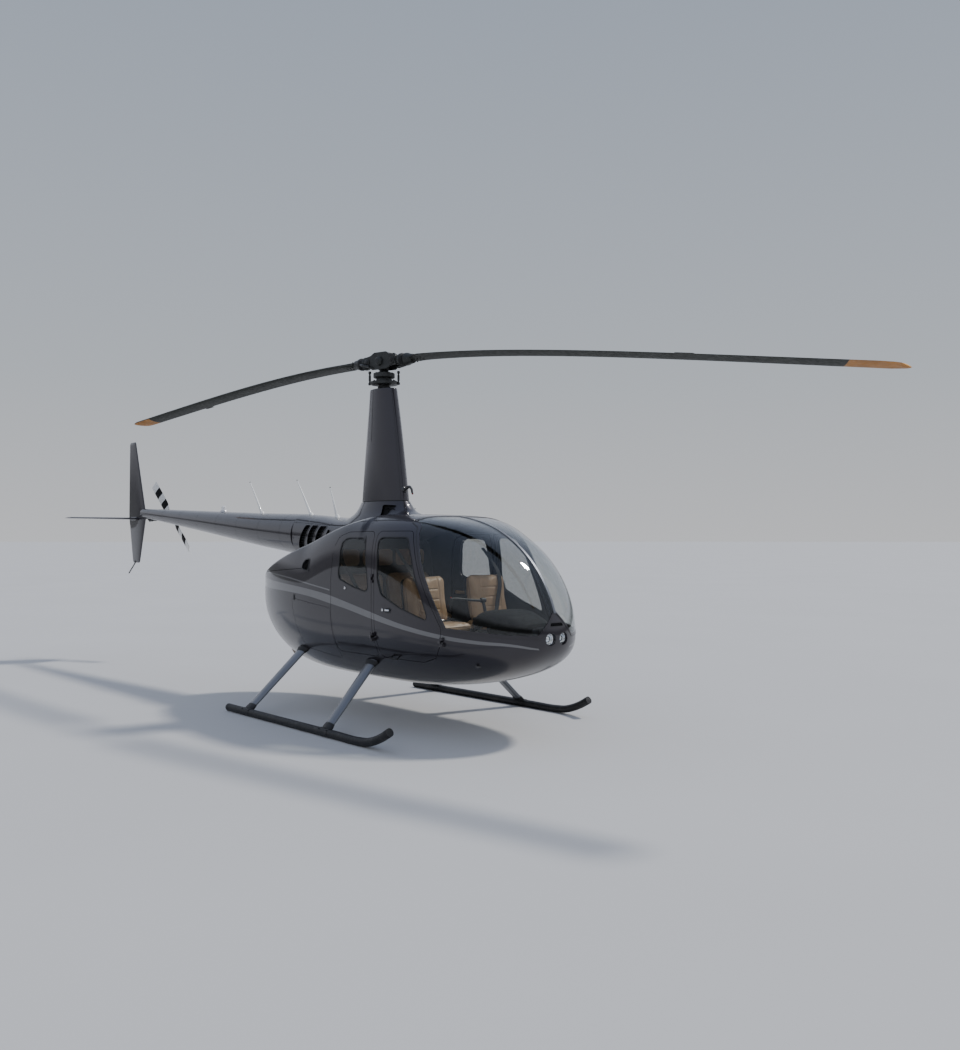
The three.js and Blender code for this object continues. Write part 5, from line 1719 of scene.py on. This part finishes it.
# Station, half width, lower and upper height.
CONSOLE_HOOD = np.divide([(1560, 225, 930, 1006), (1600, 240, 930, 1040), (1700, 250, 930, 1062),
                          (1820, 245, 930, 1064), (1960, 205, 930, 1030), (2070, 160, 930, 990),
                          (2116, 135, 934, 968)], 1000)


def inner_half_width(x, z, wall):
    point, _ = pod_at(x, z, LEFT)
    return np.maximum(point[..., 1] - wall, 0.02)


def floor_and_walls():
    """Carpeted floor, seat boxes and the padded bulkhead behind the rear seats."""
    shape, wall = Shape(), Shape()
    x = np.linspace(BULKHEAD_X + 0.032, 1.975, 60)
    half = np.minimum(inner_half_width(x, FLOOR_Z - 0.002, 0.052), 0.7)
    outline = np.vstack([stacked(x, -half), stacked(x, half)[::-1]])
    shape.add(loft([np.insert(outline, 2, z, axis=1) for z in (FLOOR_Z, FLOOR_Z + 0.019, FLOOR_Z + 0.022)]))
    levels = ((0.606, 0), (0.7, 0), (0.77, 0), (0.833, 0), (0.839, 0.002), (0.842, 0.008))
    for x0, x1, gap, sides in ((1.01, 1.498, 0.11, (RIGHT, LEFT)), (BULKHEAD_X + 0.032, 0.418, 0, (0,))):
        for side in sides:
            rings = []
            for z, d in levels:
                aft, fore = (min(0.62, float(inner_half_width(x, min(z, 0.83), 0.046))) - d for x in (x0, x1))
                y = (side * (gap + d),) * 2 + (side * fore, side * aft) if side else (-aft, -fore, fore, aft)
                rings.append(stacked((x0 + d, x1 - d, x1 - d, x0 + d), y, z))
            shape.add(loft(rings), 1)
            cover = (360 if side else 1000, 150, 6)
            shape.add(slab((x1 + 0.001, side * 0.36, 0.735), cover, 2, 20, *UPRIGHT), 2)
    build("cabin_floor_set", shape, "carpet trim plastic", "cabin_floor", sharp=30)

    rings = []
    for dx, d in mm((3, 36), (22, 36), (29, 44)):
        x = BULKHEAD_X + dx
        half = pod_point(np.full(60, x), np.linspace(-math.pi / 2, math.pi / 2, 60))
        left = half - unit(half - [x, 0, 1.1]) * d
        rings.append(np.vstack([left, (left * [1, -1, 1])[-2:0:-1]]))
    wall.add(loft(rings))
    wall.add([slab((BULKHEAD_X + 0.03, y, 1.48), (360, 160, 8), 3, 40, *UPRIGHT) for y in (-0.4, 0, 0.4)], 1)
    build("bulkhead_panel", wall, "trim leather", "cabin_bulkhead", sharp=30)


def arch(x, half, low, high):
    """Cross section of the glareshield: flat below, crowned above."""
    turn = np.linspace(0, math.pi, 28)
    c, s = np.cos(turn), np.sin(turn)
    top = stacked(x, half * np.sign(c) * np.abs(c) ** 0.55, low + (high - low) * s ** 0.6)
    return np.vstack([top, stacked(x, np.linspace(-half, half, 10)[1:-1], low)])


def console():
    """Instrument pedestal with its glareshield, screens, dials and switches."""
    FACE_X, FOOT, HEAD = 1.556, (1.645, 0.6125), (1.622, 0.932)
    shape = Shape()
    x = np.linspace(CONSOLE_HOOD[0, 0], CONSOLE_HOOD[-1, 0], 40)
    sections = zip(x, *(spline(CONSOLE_HOOD[:, 0], CONSOLE_HOOD[:, k], x) for k in (1, 2, 3)))
    shape.add(loft([arch(*v) for v in sections]))
    lip = arch(FACE_X, 0.2265, 0.928, 1.0085)
    shape.add(loft([lip, lip + [0.01, 0, 0]]), 1)
    rings = []
    for z, x0, x1, w in mm((612.5, 1645, 1900, 100), (700, 1640, 1910, 104), (800, 1632, 1930, 106),
                           (880, 1626, 1950, 108), (932, 1622, 1960, 110)):
        rings.append(np.insert(rounded([(x0, -w), (x1, -w), (x1, w), (x0, w)], 0.022, 5), 2, z, axis=1))
    shape.add(loft(rings), 1)
    u, v = (0, -1, 0), (0, 0, 1)
    for y in (-0.115, 0.115):
        shape.add(slab((FACE_X - 0.003, y, 0.966), (155, 62, 8), 2, 6, u, v), 1)
        shape.add(slab((FACE_X - 0.0075, y, 0.966), (140, 50, 2), 0.5, 4, u, v), 2)
    dial = [(0, 14.5), (6, 14.5), (8, 12), (6.2, 11.5), (6, 2)]
    for y in (-0.205, -0.018, 0.018, 0.205):
        for z in (0.951, 0.982):
            shape.add(lathe((FACE_X, y, z), (0, y, z), dial, 24), 1)
            shape.add(slab((FACE_X - 0.0066, y, z), (1.2, 16, 0.8), 0.3, None, (0, 0.6, 0.8), (0, -0.8, 0.6)), 3)
    slope = unit([HEAD[0] - FOOT[0], 0, HEAD[1] - FOOT[1]])
    back = np.cross(slope, [0, 1.0, 0])
    back = back if back[0] < 0 else -back
    for k, height in enumerate((55, 42, 42, 42, 60)):
        z = 0.885 - 0.056 * k
        share = (z - FOOT[1]) / (HEAD[1] - FOOT[1])
        at = np.array([FOOT[0] + share * (HEAD[0] - FOOT[0]), 0, z]) + back * 0.003
        shape.add(slab(at, (160, height * 0.88, 8), 1.5, 4, u, slope), 1)
        if k < 4:
            shape.add(slab(at + back * 0.0046, (90, height * 0.5, 1.2), 0.4, 2, u, slope), 2)
            for y in (-0.064, 0.064):
                knob = at + [0, y, 0]
                shape.add(lathe(knob, knob + back, [(3, 8.5), (14, 8), (15.5, 6.5)], 18), 1)
                shape.add(slab(knob + back * 0.0158, (1.5, 6, 0.6), 0.2, None, (0, 1, 0), slope), 3)
        else:
            for y in np.linspace(-0.06, 0.06, 6):
                knob = at + [0, y, 0]
                shape.add(rod(knob + back * 0.003, knob + back * 0.016 + slope * 0.006, 2.2), 3)
    build("console_set", shape, "dash plastic screen dial", "instrument_console")


def along_path(points, count, radius, sides, up=None, steps=None):
    """Tube along a smooth path through points in millimetres; a list of radii is read at its steps."""
    if steps:
        radius = np.interp(np.linspace(0, 1, count), steps, radius)
    return tube(curve_through(mm(*points), count), radius, sides, up)


def controls():
    """Cyclic with its cross bar and grips, collective lever and pedals."""
    shape, levers = Shape(), Shape()
    post = [(1560, 0, 620.5), (1548, 0, 700), (1520, 0, 840), (1480, 0, 990), (1440, 0, 1130)]
    shape.add(along_path(post, 30, 13.5, 18))
    pleats = [(8 + 6 * k, (50, 40)[k % 2] - 2.2 * k) for k in range(9)]
    shape.add(lathe((1.56, 0, 0.6126), (1.552, 0, 0.7), [(0, 52), (4, 54), *pleats, (66, 16)], 28), 1)
    shape.add(lathe((1.4415, 0.026, 1.128), (1.4385, -0.026, 1.128), [(0, 16), (4, 21), (48, 21), (52, 16)], 24))
    bar = [(1440, 22, 1122.5), (1436, -20, 1124.5), (1420, -170, 1138), (1402, -312, 1149.5), (1400, -330, 1148)]
    shape.add(along_path(bar, 26, 11.5, 18, (0, 0, 1)))
    grip = [(1400, -330, 1158), (1399, -331, 1130), (1392, -333, 1088), (1385, -335, 1040)]
    shape.add(along_path(grip, 28, [11, 16, 17, 14.5, 16.5, 14.5, 16.5, 15.5, 12], 20, (0, 1, 0),
                         [0, 0.08, 0.2, 0.32, 0.5, 0.62, 0.8, 0.95, 1]), 1)
    shape.add(rod((1.4, -0.33, 1.155), (1.399, -0.329, 1.1655), 6.2), 2)
    shape.add(tube(mm((1380, -334, 1105), (1372, -334, 1096), (1373, -334, 1080)), [4, 4.5, 3], 10), 2)
    build("cyclic_set", shape, "plastic rubber red", "cyclic_stick")

    lever = [(1060, -85, 700), (1200, -85, 770), (1360, -85, 850), (1500, -85, 905)]
    levers.add(along_path(lever, 24, 11.5, 16))
    hold = [(1400, -85, 866.5), (1450, -85, 887.2), (1520, -85, 912)]
    levers.add(along_path(hold, 16, [14, 16.5, 15.5, 16.5, 12], 18, None, [0, 0.1, 0.5, 0.9, 1]), 1)
    for middle in (-0.355, 0.355):
        for y in (middle - 0.095, middle + 0.095):
            levers.add(tube(curve_through([(1.905, y, 0.64), (1.87, y, 0.7), (1.85, y, 0.765)], 10), 8, 14))
            levers.add(slab((1.846, y, 0.766), (88, 62, 10), 3, 12, (0, 1, 0), (0.28, 0, 0.96)), 1)
            for k in range(4):
                x, z = 1.84 + 0.0045 * k, 0.747 + 0.014 * k
                levers.add(rod((x, y - 0.036, z), (x, y + 0.036, z), 2.2, sides=8), 1)
        levers.add(rod((1.905, middle - 0.14, 0.64), (1.905, middle + 0.14, 0.64), 10))
    build("flight_controls", levers, "black_paint rubber")


# Seats


def pad_plan(turn):
    """Superellipse of a pad seen from above, one unit to each side."""
    c, s = np.cos(turn), np.sin(turn)
    plan = (np.abs(c) ** 7 + np.abs(s) ** 7) ** (-1 / 7)
    return plan * c, plan * s


def pillow(size, bow=0.02):
    """Crowned pad around its middle, its sides pulled in between the corners."""
    x, y = pad_plan(circle(120)[None])
    lift = np.linspace(-math.pi / 2, math.pi / 2, 40)[:, None]
    ring = np.abs(np.cos(lift)) ** 0.36
    rise = np.sign(np.sin(lift)) * np.abs(np.sin(lift)) ** 0.8
    pull = 1 - bow * (1 - np.minimum(np.abs(x), np.abs(y)) ** 2)
    return loft(stacked(ring * x * pull, ring * y * pull, rise) * size / 2)


def baked(piece):
    """Mesh of the object with its modifiers applied."""
    graph = bpy.context.evaluated_depsgraph_get()
    graph.update()
    return bpy.data.meshes.new_from_object(piece.evaluated_get(graph))


def read_vectors(mesh, key):
    values = np.empty(len(mesh.vertices) * 3)
    mesh.vertices.foreach_get(key, values)
    return values.reshape(-1, 3)


def swollen(name, body, pinned_below):
    """The pad after the cloth solver has filled it, with its motion held to the swell limit."""
    mesh = bpy.data.meshes.new(name)
    mesh.from_pydata(body[0].tolist(), [], body[1])
    piece = bpy.data.objects.new(name, mesh)
    scene = bpy.context.scene
    scene.collection.objects.link(piece)
    remesh = piece.modifiers.new("remesh", "REMESH")
    remesh.mode, remesh.voxel_size, remesh.use_smooth_shade = "VOXEL", sizes().pad_voxel, True
    base = baked(piece)
    before = read_vectors(base, "co")
    piece.modifiers.clear()
    piece.data = base
    group = piece.vertex_groups.new(name="held")
    group.add(np.flatnonzero(before[:, 2] < pinned_below).tolist(), 1.0, "REPLACE")
    cloth = piece.modifiers.new("fill", "CLOTH").settings
    cloth.quality = 6
    cloth.use_pressure = True
    cloth.uniform_pressure_force = sizes().pad_pressure
    cloth.vertex_group_mass = "held"
    cloth.effector_weights.gravity = 0
    for frame_number in range(1, sizes().pad_frames + 1):
        scene.frame_set(frame_number)
    base = baked(piece)
    move = read_vectors(base, "co") - before
    reach = np.linalg.norm(move, axis=1, keepdims=True)
    after = before + move * np.minimum(1, sizes().pad_swell / np.maximum(reach, 1e-9))
    base.vertices.foreach_set("co", after.ravel())
    piece.modifiers.clear()
    scene.frame_set(1)
    bpy.data.objects.remove(piece)
    return base


def refined(mesh):
    """The mesh with one smooth subdivision."""
    piece = bpy.data.objects.new("refining", mesh)
    bpy.context.scene.collection.objects.link(piece)
    piece.modifiers.new("finer", "SUBSURF").levels = 1
    out = baked(piece)
    bpy.data.objects.remove(piece)
    return out


def sewn(mesh, size):
    """Press two long seams and three cross seams into the upper side."""
    DEPTH, WIDTH, FADE = 0.007, 0.0055, 0.006
    end, inner = size[0] * 0.44, size[1] * 0.26
    seams = [(1, -inner, end), (1, inner, end)] + [(0, size[0] * k, inner) for k in (-0.2, 0.0, 0.2)]
    points, normals = read_vectors(mesh, "co"), read_vectors(mesh, "normal")
    press = np.zeros(len(points))
    for axis, value, reach in seams:
        near = np.exp(-((points[:, axis] - value) / WIDTH) ** 2)
        along = points[:, 1 - axis]
        inside = smooth(-reach - FADE, -reach + FADE, along) * (1 - smooth(reach - FADE, reach + FADE, along))
        press = np.maximum(press, near * inside)
    points -= normals * (press * smooth(-0.1, 0.5, normals[:, 2]) * DEPTH)[:, None]
    mesh.vertices.foreach_set("co", points.ravel())
    mesh.update()
    return mesh


def piping(mesh, size, level):
    """Closed tube around the pad's edge, on its surface."""
    RADIUS = 0.0032
    tree = BVHTree.FromPolygons([v.co.copy() for v in mesh.vertices], [tuple(p.vertices) for p in mesh.polygons])
    path = []
    for x, y in stacked(*pad_plan(circle(112))) * size[:2] / 2:
        hit = tree.ray_cast(Vector((x * 1.3, y * 1.3, level)), Vector((-x, -y, 0)).normalized())[0]
        path.append(tuple(hit) if hit else (x, y, level))
    path = np.array(path)
    ways = unit(np.roll(path, -1, 0) - np.roll(path, 1, 0))
    u = unit(np.cross([0, 0, 1.0], ways))
    return hoop([p + RADIUS * ring_in(a, b, 8) for p, a, b in zip(path, u, np.cross(ways, u))])


def put_pad(name, mesh, where, node):
    mesh = mesh.copy()
    mesh.name = name
    mesh.transform(Matrix((shifted(*MAST_AT) @ where).tolist()))
    mesh.materials.clear()
    mesh.materials.append(finish("leather"))
    mesh.polygons.foreach_set("use_smooth", np.ones(len(mesh.polygons), bool))
    place(bpy.data.objects.new(name, mesh), AIRFRAME, [node])


# Pads: size, place with y to either side, and tilt about Y.
FRONT_Y, REAR_Y, BACK_Z = 0.36, 0.29, 1.124
PADS = {"front_seat_cushion": ((0.466, 0.47, 0.088), (1.258, FRONT_Y, 0.89), -0.035),
        "front_seat_back": ((0.44, 0.455, 0.105), (1.088, FRONT_Y, BACK_Z), math.pi / 2 - 0.165),
        "rear_seat_cushion": ((0.448, 0.56, 0.088), (0.196, REAR_Y, 0.89), -0.035),
        "rear_seat_back": ((0.44, 0.55, 0.105), (0.022, REAR_Y, BACK_Z), math.pi / 2 - 0.165)}


def seats():
    """Leather seats: filled cushions and backs with sewn seams, piping, shells and belts."""
    trim, shells, belts = Shape(), Shape(), Shape()
    pads = {name: sewn(refined(swollen(name + "_pad", pillow(size), -size[2] * 0.38)), size)
            for name, (size, _, _) in PADS.items()}
    for label, side in SIDES:
        for name, (size, (x, y, z), tilt) in PADS.items():
            where = shifted(x, side * y, z) @ turned("Y", tilt)
            put_pad(f"{name}_{label}", pads[name], where, f"front_seat_{label}" if "front" in name else "rear_seat")
            trim.add([piping(pads[name], size, level) for level in (0.016, -0.022)], 0, where)
            if name == "front_seat_back":
                shells.add(slab((0, 0, -0.058), (400, 410, 10), 3, 50), 0, where)
                for y in (-0.15, 0.15):
                    path = curve_through([(0.18, y, -0.066), (0, y, -0.066), (-0.12, y, -0.066)], 12)
                    shells.add(tube(path, 9, 12), 1, where)
    build("seat_piping", trim, "piping")
    build("seat_shells", shells, "plastic black_paint")

    HALF = 0.225
    for back, lap, seat_y in ((1.085, 1.245, FRONT_Y), (0.02, 0.185, REAR_Y)):
        for _, side in SIDES:
            y = side * seat_y
            belt = [(lap + x, y + share * HALF, z) for x, share, z in
                    ((-0.06, -1, 0.86), (-0.03, -0.86, 0.925), (0, -0.45, 0.95), (0.01, 0, 0.9525), (0, 0.45, 0.95),
                     (-0.03, 0.86, 0.925), (-0.06, 1, 0.86))]
            belts.add(tube(curve_through(belt, 26), 24, 12, (-0.2, 0, 1), 0.06))
            anchor = back - (0.215 if back > 0.5 else 0.095)
            strap = [(x, y + side * dy, z) for x, dy, z in
                     ((anchor, 0.15, 1.575), (back - 0.095, 0.15, 1.46), (back + 0.012, 0.14, 1.352),
                      (back + 0.062, 0.115, 1.25), (back + 0.096, 0.06, 1.12), (back + 0.126, 0.01, 1.0),
                      (lap + 0.006, -0.03, 0.958))]
            belts.add(tube(curve_through(strap, 40), 22, 12, (1, 0, 0.3), 0.06))
            belts.add(slab((lap + 0.008, y - side * 0.03, 0.96), (52, 60, 14), 3, 6), 1)
            belts.add([slab((lap - 0.06, y + end * HALF, 0.862), (30, 12, 45), 2, 5) for end in (-1, 1)], 1)
    build("seat_belts", belts, "belt steel")

    engine = frame["nodes"]["engine_block"]
    engine.data.materials.clear()
    engine.data.materials.append(finish("dark_metal"))


# Stage

CAMERA_AT, CAMERA_YAW, CAMERA_PITCH, CAMERA_LENS = (8.4032, -5.666, 1.641), 138.0, 0.93, 33.42
# Heights from 0 straight down to 1 straight up, and the world's colour there.
BACKDROP = ((0.0, (0.4, 0.4, 0.4)), (0.497, (0.9, 0.91, 0.94)), (0.58, (0.72, 0.77, 0.84)), (0.8, (0.46, 0.55, 0.69)))
MIRRORED = ((0.0, (0.4, 0.4, 0.39)), (0.495, (0.3, 0.3, 0.29)), (0.505, (0.1, 0.105, 0.1)),
            (0.528, (0.13, 0.13, 0.14)), (0.565, (0.95, 0.98, 1.08)), (0.7, (0.82, 0.89, 1.04)),
            (1.0, (0.58, 0.7, 1.0)))


def sun_light(name, toward, strength, angle, colour):
    """Broad soft light that shines along a direction."""
    light = bpy.data.lights.new(name, "SUN")
    light.energy, light.angle, light.color = strength, math.radians(angle), colour
    lamp = bpy.data.objects.new(name, light)
    lamp.matrix_world = Vector(toward).to_track_quat("-Z", "Y").to_matrix().to_4x4()
    return lamp


def pale_world(scene):
    """Pale backdrop, and the softbox above with a dark rim that the finishes mirror."""
    scene.world = scene.world or bpy.data.worlds.new("studio")
    scene.world.use_nodes = True
    tree = scene.world.node_tree
    new, link = (lambda kind: tree.nodes.new("ShaderNode" + kind)), tree.links.new

    def ramp(stops):
        node = new("ValToRGB")
        link(level.outputs[0], node.inputs[0])
        while len(node.color_ramp.elements) < len(stops):
            node.color_ramp.elements.new(1.0)
        for element, (at, colour) in zip(node.color_ramp.elements, stops):
            element.position, element.color = at, (*colour, 1)
        return node.outputs[0]

    split, level, pick = new("SeparateXYZ"), new("MapRange"), new("Mix")
    link(new("TexCoord").outputs["Generated"], split.inputs[0])
    link(split.outputs["Z"], level.inputs["Value"])
    level.inputs["From Min"].default_value = -1.0
    pick.data_type = "RGBA"
    link(new("LightPath").outputs["Is Camera Ray"], pick.inputs[0])
    link(ramp(MIRRORED), pick.inputs[6])
    link(ramp(BACKDROP), pick.inputs[7])
    background = next(n for n in tree.nodes if n.type == "BACKGROUND")
    link(pick.outputs[2], background.inputs["Color"])
    background.inputs["Strength"].default_value = sizes().sky_strength


def set_stage():
    """Pale floor, pale world, soft sun and the photograph's camera."""
    REACH = 1500.0
    scene = bpy.context.scene
    ground = bpy.data.meshes.new("ground")
    ground.from_pydata([(-REACH, -REACH, 0), (REACH, -REACH, 0), (REACH, REACH, 0), (-REACH, REACH, 0)], [],
                       [(0, 1, 2, 3)])
    f = Finish("finish_ground", (0.52, 0.52, 0.515), 0.75)
    f.set("Base Color", f.tinted(f.ranged(f.noise(0.3, 3), 0, 1), 0.98, 1.02))
    ground.materials.append(f.material)
    floor = bpy.data.objects.new("ground", ground)
    pale_world(scene)
    key = sun_light("key_light", (-0.18, -0.62, -0.85), sizes().sun_strength, 6, (1.0, 0.97, 0.93))
    fill = sun_light("fill_light", (-0.7, 0.6, -0.45), sizes().sun_strength * 0.14, 40, (0.95, 0.97, 1.0))
    fill.visible_glossy = False
    view = bpy.data.cameras.new("photo_camera")
    view.lens, view.sensor_width, view.sensor_fit, view.clip_end = CAMERA_LENS, 36.0, "AUTO", 4000
    camera = bpy.data.objects.new("photo_camera", view)
    camera.matrix_world = (Matrix.Translation(CAMERA_AT)
                           @ Matrix.Rotation(math.radians(CAMERA_YAW - 90), 4, "Z")
                           @ Matrix.Rotation(math.radians(90 + CAMERA_PITCH), 4, "X"))
    staged = (floor, key, fill, camera)
    for item in staged:
        scene.collection.objects.link(item)
    scene.camera = camera


# Properties, operators and panel


class HelicopterSizes(bpy.types.PropertyGroup):
    """Sizes that the pieces are made with."""

    pad_voxel: FloatProperty(name="Pad voxel", description="Voxel size of the cushion remesh",
                             default=0.0105, min=0.003, subtype="DISTANCE", unit="LENGTH")
    pad_swell: FloatProperty(name="Pad swell", description="Farthest that a cushion's skin may move while it fills",
                             default=0.012, min=0.0, subtype="DISTANCE", unit="LENGTH")
    pad_pressure: FloatProperty(name="Pad pressure", description="Pressure inside the cushions", default=4.0)
    pad_frames: IntProperty(name="Pad frames", description="Steps of the cushion simulation", default=20, min=1)
    sky_strength: FloatProperty(name="Sky strength", description="Brightness of the pale world", default=0.7)
    sun_strength: FloatProperty(name="Sun strength", description="Brightness of the soft sun", default=2.6)


class HelicopterColours(bpy.types.PropertyGroup):
    """Colours of the main finishes."""

    paint: FloatVectorProperty(name="Paint", description="Dark body paint", subtype="COLOR", size=3,
                               default=(0.025, 0.022, 0.028), min=0, max=1)
    stripe: FloatVectorProperty(name="Stripe", description="Silver stripes", subtype="COLOR", size=3,
                                default=(0.16, 0.16, 0.165), min=0, max=1)
    leather: FloatVectorProperty(name="Leather", description="Seat leather", subtype="COLOR", size=3,
                                 default=(0.46, 0.30, 0.17), min=0, max=1)
    window_tint: FloatVectorProperty(name="Window tint", description="Tint of the door windows", subtype="COLOR",
                                     size=3, default=(0.70, 0.70, 0.69), min=0, max=1)
    windshield_tint: FloatVectorProperty(name="Windshield tint", description="Tint of the windshield",
                                         subtype="COLOR", size=3, default=(0.88, 0.89, 0.88), min=0, max=1)


class PieceOperator:
    """Shared by the operators: runs the builder and stops if it made nothing."""

    bl_options = {"REGISTER", "UNDO"}

    def execute(self, context):
        before = len(bpy.data.objects)
        for builder in self.builders:
            builder()
        if len(bpy.data.objects) == before:
            raise RuntimeError(self.bl_label + " made no object")
        return {"FINISHED"}


class HELICOPTER_OT_cabin(PieceOperator, bpy.types.Operator):
    """Cabin shell with its openings, seals, vent and screws"""

    bl_idname, bl_label, builders = "helicopter.cabin", "Cabin shell", (cabin, scoop_and_step)


class HELICOPTER_OT_aft_body(PieceOperator, bpy.types.Operator):
    """Engine bay skin and baggage bay"""

    bl_idname, bl_label, builders = "helicopter.aft_body", "Aft body", (aft_body,)


class HELICOPTER_OT_doors(PieceOperator, bpy.types.Operator):
    """Cabin doors with windows, handles and hinges, and the baggage door"""

    bl_idname, bl_label, builders = "helicopter.doors", "Doors", (doors, baggage_door)


class HELICOPTER_OT_windshield(PieceOperator, bpy.types.Operator):
    """Windshield halves with their retainers and centre strip"""

    bl_idname, bl_label, builders = "helicopter.windshield", "Windshield", (windshield,)


class HELICOPTER_OT_cowling(PieceOperator, bpy.types.Operator):
    """Louvered cowling, mast base and mast fairing"""

    bl_idname, bl_label, builders = "helicopter.cowling", "Cowling and fairing", (cowling, mast_base, fairing)


class HELICOPTER_OT_tail(PieceOperator, bpy.types.Operator):
    """Tail boom, fin, stabilizer and tail rotor"""

    bl_idname, bl_label, builders = "helicopter.tail", "Tail", (boom, fin_and_stabilizer, tail_rotor)


class HELICOPTER_OT_main_rotor(PieceOperator, bpy.types.Operator):
    """Rotor hub, mast, swashplate and main blades"""

    bl_idname, bl_label, builders = "helicopter.main_rotor", "Main rotor", (main_blades, rotor_hub)


class HELICOPTER_OT_landing_gear(PieceOperator, bpy.types.Operator):
    """Skids and struts"""

    bl_idname, bl_label, builders = "helicopter.landing_gear", "Landing gear", (landing_gear,)


class HELICOPTER_OT_fittings(PieceOperator, bpy.types.Operator):
    """Antennas, lights, lamps and exhaust"""

    bl_idname, bl_label, builders = "helicopter.fittings", "Antennas and lights", (antennas_and_lights,)


class HELICOPTER_OT_interior(PieceOperator, bpy.types.Operator):
    """Floor, bulkhead, instrument console and controls"""

    bl_idname, bl_label, builders = "helicopter.interior", "Interior", (floor_and_walls, console, controls)


class HELICOPTER_OT_seats(PieceOperator, bpy.types.Operator):
    """Leather seats with belts"""

    bl_idname, bl_label, builders = "helicopter.seats", "Seats", (seats,)


class HELICOPTER_OT_stage(PieceOperator, bpy.types.Operator):
    """Floor, lights and camera"""

    bl_idname, bl_label, builders = "helicopter.stage", "Stage", (set_stage,)


OPERATORS = (HELICOPTER_OT_cabin, HELICOPTER_OT_aft_body, HELICOPTER_OT_doors, HELICOPTER_OT_windshield,
             HELICOPTER_OT_cowling, HELICOPTER_OT_tail, HELICOPTER_OT_main_rotor, HELICOPTER_OT_landing_gear,
             HELICOPTER_OT_fittings, HELICOPTER_OT_interior, HELICOPTER_OT_seats, HELICOPTER_OT_stage)


class HELICOPTER_PT_panel(bpy.types.Panel):
    """Lists the sizes, the colours and the operators"""

    bl_idname, bl_label = "HELICOPTER_PT_panel", "Light helicopter"
    bl_space_type, bl_region_type, bl_category = "VIEW_3D", "UI", "Helicopter"

    def draw(self, context):
        for group in (context.scene.helicopter_sizes, context.scene.helicopter_colours):
            box = self.layout.box()
            for key in group.__annotations__:
                box.prop(group, key)
        for operator in OPERATORS:
            self.layout.operator(operator.bl_idname)


CLASSES = (HelicopterSizes, HelicopterColours, *OPERATORS, HELICOPTER_PT_panel)


def register():
    for cls in CLASSES:
        bpy.utils.register_class(cls)
    bpy.types.Scene.helicopter_sizes = PointerProperty(type=HelicopterSizes)
    bpy.types.Scene.helicopter_colours = PointerProperty(type=HelicopterColours)


def unregister():
    del bpy.types.Scene.helicopter_colours
    del bpy.types.Scene.helicopter_sizes
    for cls in reversed(CLASSES):
        bpy.utils.unregister_class(cls)


def main():
    register()
    for operator in OPERATORS:
        getattr(bpy.ops.helicopter, operator.bl_idname.split(".")[1])()


if __name__ == "__main__":
    main()
